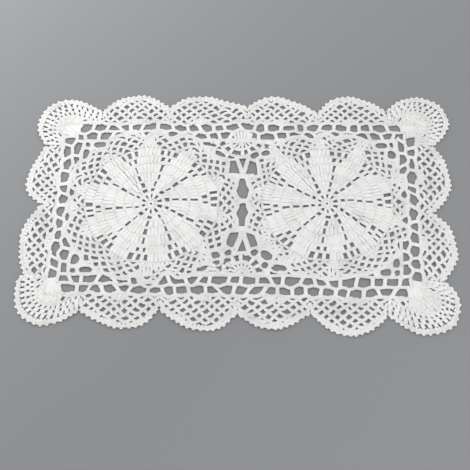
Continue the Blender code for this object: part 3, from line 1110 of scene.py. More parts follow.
@dataclass
class MeshSide:
    """One side of the open mesh round both medallions: two rows of cells on three chain rails."""

    name: str
    side: int
    corners: tuple[int, ...]
    seed: int
    size: tuple[float, float]
    sway: float = 1.45
    lean: float = 0.15
    upright: float = 1.06
    flare: float = 0.85
    lift: float = 0.05
    pull_drift: float = 0.5
    width_drift: float = 0.1
    shortest: float = 2.0
    foot_step: float = 0.25
    foot_tries: int = 80
    outer_size: float = 1.42
    middle_size: float = 1.16
    middle_lift: float = 0.15
    inner_size: float = 1.15
    inner_least: int = 5
    corner_reach: float = 27.0
    corner_room: float = 4.5
    corner_heads: tuple = (11.0, 5.5)
    corner_inset: float = 0.5
    corner_taper: float = 0.4
    corner_widths: tuple = (0.9, 1.35)
    corner_lift: float = 0.1
    corner_share: float = 0.6
    tie_room: float = 1.5
    tie_pitch: float = 3.9
    tie_least: int = 4
    tie_margin: float = 1.6
    ring_margin: float = 2.1
    ring_size: float = 0.98
    ring_lift: float = 0.1

    def share(self, cells: float) -> float:
        """The share of the side at a number of cells, which leave the close corners free.

        Args:
            cells: How many cells along the side.

        Returns:
            The share of the whole side.
        """
        start, end = RAILS.side_of(RAILS.middle, self.side)
        room = self.corner_room / float(np.hypot(*(end - start)))
        return room + (1.0 - 2.0 * room) * cells / RAILS.cells[self.side]

    def inner_foot(self, share: float) -> np.ndarray:
        """Where an upright of the inner row starts: the inner rail, or a medallion's edge.

        Args:
            share: The share along the side.

        Returns:
            The foot's point.
        """
        outward = RAILS.outward(self.side)
        foot = RAILS.point(RAILS.inner, self.side, share)
        for medallion in MEDALLIONS:
            for _ in range(self.foot_tries):
                if not medallion.holds(foot):
                    break
                foot = foot + outward * self.foot_step
        return foot

    def rail(self, work: Work, kind: tuple, out_first: bool) -> Line:
        """A rail's line along this side, drawn in and out by the uprights that hang on it.

        Args:
            work: The work, whose chance makes some pulls stronger than others.
            kind: The rail, by its corners.
            out_first: Whether whole cells, and not half ones, pull it outward.

        Returns:
            The rail's points, from corner to corner.
        """
        outward = RAILS.outward(self.side)
        steps = RAILS.cells[self.side] * 2
        points = []
        for step in range(steps + 1):
            pull = self.sway if (step % 2 == 0) == out_first else -self.sway
            pull *= 1.0 + work.chance.normal(0.0, self.pull_drift)
            if step in (0, steps):
                pull = 0.0
            points.append(RAILS.point(kind, self.side, self.share(step / 2.0)) + outward * pull)
        points[0], points[-1] = RAILS.side_of(kind, self.side)
        return soften(np.array(points), 2)

    def outer_row(self, work: Work) -> None:
        """Works the uprights of the outer row, some of them leaning.

        Args:
            work: The piece's work in progress.
        """
        count = RAILS.cells[self.side]
        shares = [self.share(step) for step in range(count + 1)]
        lean = work.chance.normal(0.0, self.lean, (2, len(shares))) / count
        feet = [RAILS.point(RAILS.middle, self.side, a + b) for a, b in zip(shares, lean[0])]
        heads = [RAILS.point(RAILS.outer, self.side, a + b) for a, b in zip(shares, lean[1])]
        wide = self.upright * (1.0 + work.chance.normal(0.0, self.width_drift, (len(shares), 1)))
        work.posts(np.array(feet), np.array(heads), wide, self.lift, self.flare)

    def corner_fan(self, work: Work, index: int) -> None:
        """Works the stitches across a corner of the outer row, which all but close its cell.

        Args:
            work: The piece's work in progress.
            index: The corner, from the upper left clockwise.
        """
        foot, corner = np.array(RAILS.middle[index]), np.array(RAILS.outer[index])
        before = unit(np.array(RAILS.outer[index - 1]) - corner)
        after = unit(np.array(RAILS.outer[(index + 1) % 4]) - corner)
        inset = (before + after) * self.corner_inset
        feet, heads = [foot + inset], [corner + inset]
        for reach in self.corner_heads:
            for way in (before, after):
                feet.append(foot + way * reach * self.corner_taper)
                heads.append(corner + way * reach)
        widths = np.array((self.corner_widths,) * len(feet))
        work.posts(np.array(feet), np.array(heads), widths, self.corner_lift)

    def inner_row(self, work: Work) -> None:
        """Works the uprights of the inner row, half a cell out of step with the outer row's.

        Args:
            work: The piece's work in progress.
        """
        feet, heads = [], []
        count = RAILS.cells[self.side]
        for step in range(count):
            share = self.share(step + 0.5)
            foot = self.inner_foot(share + work.chance.normal(0.0, self.lean) / count)
            place = share + work.chance.normal(0.0, self.lean) / count
            head = RAILS.point(RAILS.middle, self.side, place)
            if (head - foot) @ RAILS.outward(self.side) > self.shortest:
                feet.append(foot)
                heads.append(head)
        work.posts(np.array(feet), np.array(heads), self.upright, self.lift, self.flare)

    def inner_rail(self, work: Work) -> None:
        """Works the inner rail where it runs clear of the medallions.

        Args:
            work: The piece's work in progress.
        """
        line = resample(np.array(RAILS.side_of(RAILS.inner, self.side)), 1.0)
        clear = [not any(medallion.holds(point) for medallion in MEDALLIONS) for point in line]
        run: list[np.ndarray] = []
        for point, free in zip((*line, line[-1]), (*clear, False)):
            if free:
                run.append(point)
            elif len(run) >= self.inner_least:
                work.cord(np.array(run), size=self.inner_size)
                run = []

    def corner_tie(self, work: Work, index: int) -> None:
        """Fills one corner between a medallion and the inner rail, round its charted gaps.

        Args:
            work: The piece's work in progress.
            index: The corner, from the upper left clockwise.
        """
        corner = np.array(RAILS.inner[index])
        medallion = min(MEDALLIONS, key=lambda item: abs(item.x - corner[0]))
        middle = np.array((medallion.x, medallion.y))
        before = np.array(RAILS.inner[index - 1])
        after = np.array(RAILS.inner[(index + 1) % 4])
        ends = [corner + unit(other - corner) * self.corner_reach for other in (before, after)]
        path = resample(np.array((ends[0], corner, ends[1])), 1.0)
        offset = path - middle
        angle = np.arctan2(offset[:, 1], offset[:, 0])
        ring = medallion.at(medallion.edge_at(angle), angle)
        free = np.linalg.norm(offset, axis=1) > medallion.edge_at(angle) + self.tie_room
        if free.sum() >= self.tie_least:
            clear = clear_of(CORNER_GAPS, self.tie_margin)
            work.ladder(ring[free], path[free], self.tie_pitch, clear)
        for gap in CORNER_GAPS:
            near = math.hypot(gap.x - corner[0], gap.y - corner[1]) < self.corner_reach
            if near:
                ring = soften(gap.outline(self.ring_margin), closed=True)
                work.cord(ring, True, self.ring_size, self.ring_lift)

    def build(self) -> bpy.types.Object:
        """Works the whole side.

        Returns:
            The finished piece.
        """
        work = Work(self.name, self.seed)
        work.cord(self.rail(work, RAILS.outer, False), size=self.outer_size)
        work.cord(self.rail(work, RAILS.middle, True), size=self.middle_size, lift=self.middle_lift)
        self.outer_row(work)
        self.inner_row(work)
        self.inner_rail(work)
        for index in self.corners:
            self.corner_tie(work, index)
            self.corner_fan(work, index)
        return work.finish()

    def flat_size(self) -> tuple[tuple[float, float], float]:
        """The side's width and length, and its flat area, in metres.

        Returns:
            Its width and length, and its flat area.
        """
        ends = (*RAILS.side_of(RAILS.outer, self.side), *RAILS.side_of(RAILS.inner, self.side)[::-1])
        area = area_of(np.array(ends))
        area += len(self.corners) * self.corner_reach**2 * self.corner_share
        return self.size, area * MM * MM


MESH_SIDES = (
    MeshSide("mesh_top", 0, (), 21, (0.380, 0.022)),
    MeshSide("mesh_right", 1, (1, 2), 22, (0.048, 0.212)),
    MeshSide("mesh_bottom", 2, (), 23, (0.380, 0.022)),
    MeshSide("mesh_left", 3, (3, 0), 24, (0.048, 0.207)),
)


def clear_of(gaps: Sequence[Gap], margin: float) -> Callable[[Line], np.ndarray]:
    """A test of points, which tells whether each keeps a margin from all of the gaps.

    Args:
        gaps: The gaps.
        margin: The distance to keep.

    Returns:
        The test.
    """

    def clear(points: Line) -> np.ndarray:
        """Whether each point keeps its distance from every gap."""
        held = np.zeros(points.shape[:-1], dtype=bool)
        for gap in gaps:
            held |= gap.holds(points, margin)
        return ~held

    return clear


def area_of(corners: Line) -> float:
    """The flat area inside a line of corners.

    Args:
        corners: The corners, in order.

    Returns:
        The area.
    """
    following = np.roll(corners, -1, axis=0)
    crossed = corners[:, 0] * following[:, 1] - corners[:, 1] * following[:, 0]
    return abs(float(crossed.sum())) / 2.0


@dataclass(frozen=True)
class Fan:
    """A fan of the middle join: its core, the way it opens, and its small gaps."""

    x: float
    y: float
    opening: float
    spread: float
    gaps: tuple[Gap, ...]
    arcs: tuple = (7.6, 13.4, 23.2, 33.4, 43.0, 53.0)


UPPER_FAN = Fan(
    4.1,
    86.5,
    270.0,
    89.0,
    (
        Gap(-2.1, 78.3, 4.6, 2.6, 60.0),
        Gap(8.2, 79.3, 4.6, 2.6, -60.0),
        Gap(-10.3, 73.1, 4.6, 3.4, 40.0),
        Gap(-2.1, 69.0, 5.0, 3.4, 70.0),
        Gap(7.2, 70.0, 5.0, 3.4, -75.0),
        Gap(15.4, 73.1, 4.6, 3.4, -40.0),
        Gap(-16.5, 80.3, 5.2, 3.2, 15.0),
        Gap(-8.2, 63.3, 5.2, 3.4, -25.0),
        Gap(42.2, 81.4, 8.0, 3.0, 8.0),
        Gap(22.5, 79.0, 5.0, 3.0, -12.0),
        Gap(30.0, 76.5, 6.5, 2.6, -30.0),
        Gap(-22.0, 74.5, 5.0, 2.4, -20.0),
    ),
)
LOWER_FAN = Fan(
    2.1,
    -78.3,
    90.0,
    89.0,
    (
        Gap(-10.3, -72.1, 4.6, 2.8, -35.0),
        Gap(-12.4, -62.8, 5.0, 3.2, 20.0),
        Gap(-2.1, -59.7, 5.0, 3.0, -75.0),
        Gap(8.2, -60.8, 5.6, 3.2, 75.0),
        Gap(16.5, -67.0, 5.4, 3.2, 40.0),
        Gap(21.6, -74.2, 6.0, 3.0, 10.0),
        Gap(-19.6, -71.1, 6.0, 3.2, 12.0),
        Gap(35.0, -79.0, 7.0, 2.2, -5.0),
    ),
)


@dataclass
class MiddleJoin:
    """The narrow join between the medallions: two fans, and chains round the large gaps."""

    name: str = "middle_join"
    seed: int = 31
    joints: tuple = ((4.1, 38.4), (4.0, 7.5), (3.3, -25.6))
    half_span: float = 46.0
    middle: float = 3.0
    overlap: float = 1.2
    gap_margin: float = 0.85
    gap_overlap: float = 0.4
    core_radius: float = 1.5
    core_rows: int = 2
    core_fill: float = 0.8
    fewest: int = 9
    arc_size: float = 0.95
    arc_lift: float = 0.25
    crown_posts: int = 6
    crown_half: float = 9.0
    crown_taper: float = 0.7
    crown_foot: float = 2.0
    crown_top: float = 98.6
    crown_slope: float = 0.35
    shell_pitch: float = 2.6
    shell_reach: float = 85.0
    shell_overlap: float = 0.5
    shell_core: tuple = (0.6, 0.5)
    shell_least: float = 1.5
    shell_size: tuple = (0.85, 0.1)
    tie_half: float = 3.0
    tie_size: tuple = (1.0, 0.4)
    outline_step: float = 1.5
    outline_size: tuple = (1.02, 0.12)
    side_margin: float = 1.9
    side_size: tuple = (0.86, 0.1)
    size: tuple = (0.096, 0.170)
    area_share: float = 0.36

    def clear(self, points: Line) -> np.ndarray:
        """Whether yarn may lie at each point: off the medallions, the rails and the gaps.

        Args:
            points: The points.

        Returns:
            The answer for each point.
        """
        free = abs(points[..., 0] - self.middle) < self.half_span
        for medallion in MEDALLIONS:
            offset = points - np.array((medallion.x, medallion.y))
            edge = medallion.edge_at(np.arctan2(offset[..., 1], offset[..., 0]))
            free &= np.hypot(offset[..., 0], offset[..., 1]) > edge - self.overlap
        for side in (0, 2):
            start, _ = RAILS.side_of(RAILS.inner, side)
            free &= (points - start) @ RAILS.outward(side) < self.overlap
        for corners in JOIN_GAPS:
            free &= ~inside(points, corners, -self.gap_overlap)
        for gap in (*UPPER_FAN.gaps, *LOWER_FAN.gaps, *JOIN_SIDE_GAPS):
            free &= ~gap.holds(points, self.gap_margin)
        return free

    def fan(self, work: Work, fan: Fan) -> None:
        """Works one fan: rows of posts round its core, cut short at its gaps, and their arcs.

        Args:
            work: The piece's work in progress.
            fan: The fan's place and gaps.
        """
        core = np.array((fan.x, fan.y))
        spread = math.radians(fan.spread)
        opening = math.radians(fan.opening)
        radii = (self.core_radius, *fan.arcs)
        for row, (low, high) in enumerate(zip(radii[:-1], radii[1:])):
            middle = (low + high) / 2.0
            count = max(self.fewest, int(round(2.0 * spread * middle / GAUGE.post_pitch)))
            angle = opening + np.linspace(-spread, spread, count)
            heading = np.stack((np.cos(angle), np.sin(angle)), axis=1)
            feet = core + heading * (low - GAUGE.post_tuck)
            heads = core + heading * (high + GAUGE.post_tuck)
            if row < self.core_rows:
                work.strip(feet, heads, None, self.core_fill)
            else:
                work.strip(feet, heads, self.clear)
            angle = opening + np.linspace(-spread, spread, LINE_POINTS)
            ring = core + high * np.stack((np.cos(angle), np.sin(angle)), axis=1)
            for run in runs_of(ring, self.clear(ring)):
                work.cord(run, size=self.arc_size, lift=self.arc_lift)

    def crown(self, work: Work) -> None:
        """Works the close stitches over the upper fan's core, up to the middle rail.

        Args:
            work: The piece's work in progress.
        """
        aside = np.linspace(-self.crown_half, self.crown_half, self.crown_posts)
        low = np.full(self.crown_posts, UPPER_FAN.y - self.crown_foot)
        high = self.crown_top - self.crown_slope * abs(aside)
        feet = np.stack((UPPER_FAN.x + aside * self.crown_taper, low), axis=1)
        work.strip(feet, np.stack((UPPER_FAN.x + aside, high), axis=1))

    def joint(self, work: Work, place: tuple[float, float]) -> None:
        """Works the small shells that hold the medallions together at one place.

        Args:
            work: The piece's work in progress.
            place: The middle of the joint.
        """
        middle = np.array(place)
        for medallion in MEDALLIONS:
            side = 1.0 if medallion is LEFT else -1.0
            heights = place[1] + np.arange(-1, 2) * self.shell_pitch
            offset = heights - medallion.y
            radius = medallion.edge_at(np.arctan2(offset, side * self.shell_reach))
            reach = np.sqrt(np.maximum(radius**2 - offset**2, 0.0)) - self.shell_overlap
            edge = np.stack((medallion.x + side * reach, heights), axis=1)
            aside, gather = self.shell_core
            core = (heights - place[1])[:, None] * (0.0, gather) + middle - (side * aside, 0.0)
            long = np.linalg.norm(edge - core, axis=1) > self.shell_least
            work.posts(edge[long], core[long], *self.shell_size)
        half = np.array((0.0, self.tie_half))
        work.posts(middle - half, middle + half, *self.tie_size)

    def build(self) -> bpy.types.Object:
        """Works the whole join.

        Returns:
            The finished piece.
        """
        work = Work(self.name, self.seed)
        for fan in (UPPER_FAN, LOWER_FAN):
            self.fan(work, fan)
        self.crown(work)
        for place in self.joints:
            self.joint(work, place)
        for corners in JOIN_GAPS:
            outline = resample(np.array((*corners, corners[0])), self.outline_step)
            work.cord(soften(outline[:-1], 1, closed=True), True, *self.outline_size)
        for gap in JOIN_SIDE_GAPS:
            ring = soften(gap.outline(self.side_margin), closed=True)
            work.cord(ring, True, *self.side_size)
        return work.finish()

    def flat_size(self) -> tuple[tuple[float, float], float]:
        """The join's width and length, and its flat area, in metres."""
        return self.size, self.size[0] * self.size[1] * self.area_share


def runs_of(line: Line, free: np.ndarray, least: int = 6) -> list[Line]:
    """The stretches of a line whose points are free, where they are long enough."""
    marks = np.flatnonzero(np.diff(np.concatenate(([False], free, [False])).astype(int)))
    return [line[a:b] for a, b in zip(marks[::2], marks[1::2]) if b - a >= least]


@dataclass(frozen=True)
class LobeChart:
    """One lobe of the edging: its first valley, its crest, and how its edge strays from an arc."""

    valley_x: float
    valley_y: float
    crest_x: float
    crest_y: float
    push: float = 0.0
    lean: float = 0.0
    peak: float = 0.0
    ease: float = 1.5
    rail_corner: int | None = None


LOBES = (
    LobeChart(208.0, -86.5, 222.5, -43.0, 0.6),
    LobeChart(203.0, -7.0, 223.5, 38.0, 0.7, 1.2),
    LobeChart(210.0, 77.5, 218.0, 131.0, 1.4, 1.0, 1.0, rail_corner=1),
    LobeChart(162.0, 125.0, 121.5, 143.0, -0.4, -1.8),
    LobeChart(86.5, 122.5, 45.5, 142.5, -1.3, -2.8),
    LobeChart(9.5, 130.0, -43.0, 144.0, -2.3, -3.3),
    LobeChart(-75.0, 129.0, -113.5, 146.5, -2.1, 0.3),
    LobeChart(-149.5, 124.0, -206.5, 128.0, 0.8, -1.3, 1.4, rail_corner=0),
    LobeChart(-210.0, 78.5, -224.0, 34.0, -1.3, -3.8),
    LobeChart(-208.0, 4.0, -226.5, -41.0, -1.6, 0.0),
    LobeChart(-216.0, -80.5, -209.0, -128.0, 1.3, 1.4, 1.4, -4.5, rail_corner=3),
    LobeChart(-158.5, -120.5, -119.5, -138.5, 0.4, -2.2),
    LobeChart(-79.5, -120.5, -35.0, -141.0, 0.3, -1.8),
    LobeChart(-2.0, -125.5, 37.0, -138.5, 1.4, 0.4),
    LobeChart(71.0, -123.5, 110.0, -147.0, 0.1, -0.4),
    LobeChart(147.5, -125.5, 209.0, -132.0, 2.6, -3.4, 1.2, rail_corner=2),
)


@dataclass
class Lobe:
    """One lobe of the edging: its arc, and the stretch of outer rail that it fans out from."""

    index: int
    side_fan: float = 1.1
    corner_fan: float = 1.6
    corner_rows: int = 6
    row_height: float = 4.9
    ring_pitches: tuple = (5.2, 7.0, 6.0)
    ring_fill: float = 0.7
    ring_chain: float = 0.66
    base_depth: float = 1.8
    base_pitch: float = 3.7
    side_base: tuple = (0.13, 1)
    corner_base: tuple = (0.3, 3)
    rim_depth: float = 7.0
    rim_taper: float = 3.0
    rim_drop: float = 2.2
    rim_pitch: float = 3.7
    rim_start: float = 0.5
    rim_tuck: float = 0.4
    rim_least: float = 1.2
    rim_lift: float = 0.15
    loop_pitch: float = 12.6
    loop_size: float = 1.08
    loop_lift: float = 0.08
    least_height: float = 2.0
    picot_pitch: float = 6.4
    picot_widths: tuple = (1.1, 0.8)
    picot_drop: float = -0.7
    picot_lift: float = 0.1
    valley_reach: float = 6.5
    peak_waves: float = 3.0
    points: int = 97
    depth_points: int = 41
    outline_points: int = 40
    foot_points: int = 21
    chart: LobeChart = field(init=False)
    following: LobeChart = field(init=False)
    corner: bool = field(init=False)
    centre: np.ndarray = field(init=False)
    radius: float = field(init=False)
    first: float = field(init=False)
    turn: float = field(init=False)
    core: np.ndarray = field(init=False)
    feet: tuple = field(init=False)

    def __post_init__(self) -> None:
        """Works out the lobe's arc and its foot from the chart."""
        self.chart, self.following = LOBES[self.index], LOBES[(self.index + 1) % len(LOBES)]
        start = np.array((self.chart.valley_x, self.chart.valley_y))
        crest = np.array((self.chart.crest_x, self.chart.crest_y))
        end = np.array((self.following.valley_x, self.following.valley_y))
        self.centre = circle_centre(start, crest, end)
        self.radius = float(np.hypot(*(start - self.centre)))
        self.first = math.atan2(*(start - self.centre)[::-1])
        self.turn = (math.atan2(*(end - self.centre)[::-1]) - self.first) % TURN
        self.feet = (nearest_on_rail(start), nearest_on_rail(end))
        self.corner = self.chart.rail_corner is not None
        self.core = nearest_on_rail(crest)
        if self.corner:
            self.core = np.array(RAILS.outer[self.chart.rail_corner])

    def edge(self, along: np.ndarray, drop: float | np.ndarray = 0.0) -> Line:
        """Points of the lobe's arc, eased beside its valleys and dropped inside by a distance.

        Args:
            along: Shares along the lobe.
            drop: The distance inside the crest line.

        Returns:
            The points.
        """
        angle = self.first + self.turn * along
        reach = self.radius - drop + self.chart.push * np.sin(math.pi * along)
        reach = reach + self.chart.lean * np.sin(TURN * along)
        reach = reach - self.chart.peak * np.sin(self.peak_waves * math.pi * along)
        ends = ((self.chart.ease, along), (max(self.following.ease, 0.0), 1.0 - along))
        for ease, share in ends:
            near = self.radius * self.turn * share / self.valley_reach
            reach = reach - ease * near * np.exp(1.0 - near)
        return self.centre + reach[:, None] * np.stack((np.cos(angle), np.sin(angle)), axis=1)

    def foot(self, along: np.ndarray) -> Line:
        """The points of the rail that the stitches at these places fan out from.

        Args:
            along: Shares along the lobe.

        Returns:
            The points on the rail, or by its corner.
        """
        lean = 2.0 * along - 1.0
        ends = np.where(lean[:, None] < 0.0, *self.feet)
        power = self.corner_fan if self.corner else self.side_fan
        return self.core + (ends - self.core) * (abs(lean) ** power)[:, None]

    def depth(self, along: np.ndarray) -> np.ndarray:
        """The distance from the rail to the crest line at each place."""
        return np.linalg.norm(self.edge(along) - self.foot(along), axis=1)

    def inner(self, along: np.ndarray) -> np.ndarray:
        """The distance from the rail to the close rim at each place."""
        return self.depth(along) - self.rim_depth + self.rim_taper * (2.0 * along - 1.0) ** 2

    def point(self, along: np.ndarray, out: float | np.ndarray) -> Line:
        """Points at a share along the lobe and a share from rail to crest.

        Args:
            along: Shares along the lobe.
            out: Shares from rail to crest.

        Returns:
            The points.
        """
        foot = self.foot(along)
        out = np.broadcast_to(out, along.shape)[:, None]
        return foot + (self.edge(along) - foot) * out

    def row(self, row: int, along: np.ndarray) -> np.ndarray:
        """How far out a row's boundary lies at each place, as a share from rail to crest.

        Args:
            row: The row, from the rail outwards.
            along: Shares along the lobe.

        Returns:
            The shares from rail to crest.
        """
        inner = self.inner(along)
        out = row * self.row_height + self.base_depth
        if self.corner:
            out = inner - (self.corner_rows - row) * self.row_height
        return np.clip(out, 0.0, inner) / self.depth(along)

    def rows(self, work: Work) -> None:
        """Works the rows of loops, each hung on the crests of the one before.

        Args:
            work: The piece's work in progress.
        """
        count = int(round(self.radius * self.turn / self.loop_pitch))
        rows = self.corner_rows - len(self.ring_pitches)
        if not self.corner:
            deepest = float(self.inner(np.linspace(0.0, 1.0, self.depth_points)).max())
            rows = math.ceil((deepest - self.base_depth) / self.row_height)
        for row in range(rows):
            knots = (np.arange(count + 1) + 0.5 * (row % 2)) / count
            knots = np.unique(np.clip(np.concatenate(([0.0], knots)), 0.0, 1.0))
            rise = (self.row(row + 1, knots) - self.row(row, knots)) * self.depth(knots)
            knots = knots[np.convolve(rise > self.least_height, (1, 1, 1), "same") > 0]

            def strip(turn: np.ndarray, share: np.ndarray) -> Line:
                """The points at loops along this row and at shares of its height."""
                along = np.interp(turn, np.arange(len(knots)), knots)
                low, high = self.row(row, along), self.row(row + 1, along)
                return self.point(along, low + (high - low) * share)

            loops = len(knots) - 1
            if loops > 0:
                lift, power = self.loop_lift, GAUGE.edging_power
                work.wave(strip, loops, size=self.loop_size, lift=lift, power=power)

    def rings(self, work: Work) -> None:
        """Works a corner lobe's rings of spaced uprights under its rim, each on a chain.

        Args:
            work: The piece's work in progress.
        """
        even = np.linspace(0.0, 1.0, self.points)
        first = self.corner_rows - len(self.ring_pitches)
        for row, pitch in enumerate(self.ring_pitches if self.corner else (), start=first):
            feet = self.point(even, self.row(row, even))
            heads = self.point(even, self.row(row + 1, even))
            work.cord(feet, size=self.ring_chain, lift=self.loop_lift)
            work.ladder(feet, heads, pitch, fill=self.ring_fill)

    def base(self, work: Work) -> None:
        """Works the close stitches at the lobe's foot.

        Args:
            work: The piece's work in progress.
        """
        half, row = self.corner_base if self.corner else self.side_base
        even = np.linspace(0.5 - half, 0.5 + half, SECTOR_POINTS)
        work.ladder(self.foot(even), self.point(even, self.row(row, even)), self.base_pitch)

    def rim(self, work: Work) -> None:
        """Works the close stitches of the rim, a chain along it and its row of small points.

        Args:
            work: The piece's work in progress.
        """
        even = np.linspace(0.0, 1.0, self.points)
        inner = self.point(even, (self.inner(even) + self.rim_start) / self.depth(even))
        outer = self.edge(even, self.rim_drop - self.rim_tuck)
        work.ladder(inner, outer, self.rim_pitch, least=self.rim_least)
        work.cord(self.edge(even, self.rim_drop), lift=self.rim_lift)
        count = max(3, int(round(self.radius * self.turn / self.picot_pitch)))
        place = (np.arange(count) + 0.5) / count
        widths = np.array((self.picot_widths,) * count)
        low, high = self.edge(place, self.rim_drop), self.edge(place, self.picot_drop)
        work.posts(low, high, widths, self.picot_lift)

    def outline(self) -> Line:
        """The lobe's crest line, from valley to valley."""
        return self.edge(np.linspace(0.0, 1.0, self.outline_points))


def circle_centre(first: np.ndarray, second: np.ndarray, third: np.ndarray) -> np.ndarray:
    """The middle of the circle through three points.

    Args:
        first: One point.
        second: Another point.
        third: The last point.

    Returns:
        The circle's middle.
    """
    near, far = second - first, third - first
    twice = 2.0 * (near[0] * far[1] - near[1] * far[0])
    across = (far[1] * (near @ near) - near[1] * (far @ far)) / twice
    away = (near[0] * (far @ far) - far[0] * (near @ near)) / twice
    return first + np.array((across, away))


def nearest_on_rail(point: np.ndarray) -> np.ndarray:
    """The nearest point of the outer rail.

    Args:
        point: The point.

    Returns:
        The rail's point.
    """
    found = []
    for side in range(4):
        start, end = RAILS.side_of(RAILS.outer, side)
        share = np.clip((point - start) @ (end - start) / ((end - start) @ (end - start)), 0.0, 1.0)
        found.append(start + (end - start) * share)
    return min(found, key=lambda spot: float(np.hypot(*(spot - point))))


@dataclass
class Edging:
    """A stretch of the scalloped edging, of several lobes."""

    name: str
    lobes: tuple[int, ...]
    seed: int
    size: tuple[float, float]

    def build(self) -> bpy.types.Object:
        """Works each lobe of the stretch.

        Returns:
            The finished piece.
        """
        work = Work(self.name, self.seed)
        for index in self.lobes:
            lobe = Lobe(index)
            lobe.base(work)
            lobe.rows(work)
            lobe.rings(work)
            lobe.rim(work)
        return work.finish()

    def flat_size(self) -> tuple[tuple[float, float], float]:
        """The stretch's width and length, and its flat area, in metres.

        Returns:
            Its width and length, and its flat area.
        """
        area = 0.0
        for index in self.lobes:
            lobe = Lobe(index)
            back = lobe.foot(np.linspace(1.0, 0.0, lobe.foot_points))
            area += area_of(np.concatenate((lobe.outline(), back)))
        return self.size, area * MM * MM


EDGINGS = (
    Edging("edging_right", (0, 1, 2), 41, (0.060, 0.240)),
    Edging("edging_top", (3, 4, 5, 6, 7), 42, (0.400, 0.070)),
    Edging("edging_left", (8, 9, 10), 43, (0.060, 0.240)),
    Edging("edging_bottom", (11, 12, 13, 14, 15), 44, (0.400, 0.070)),
)


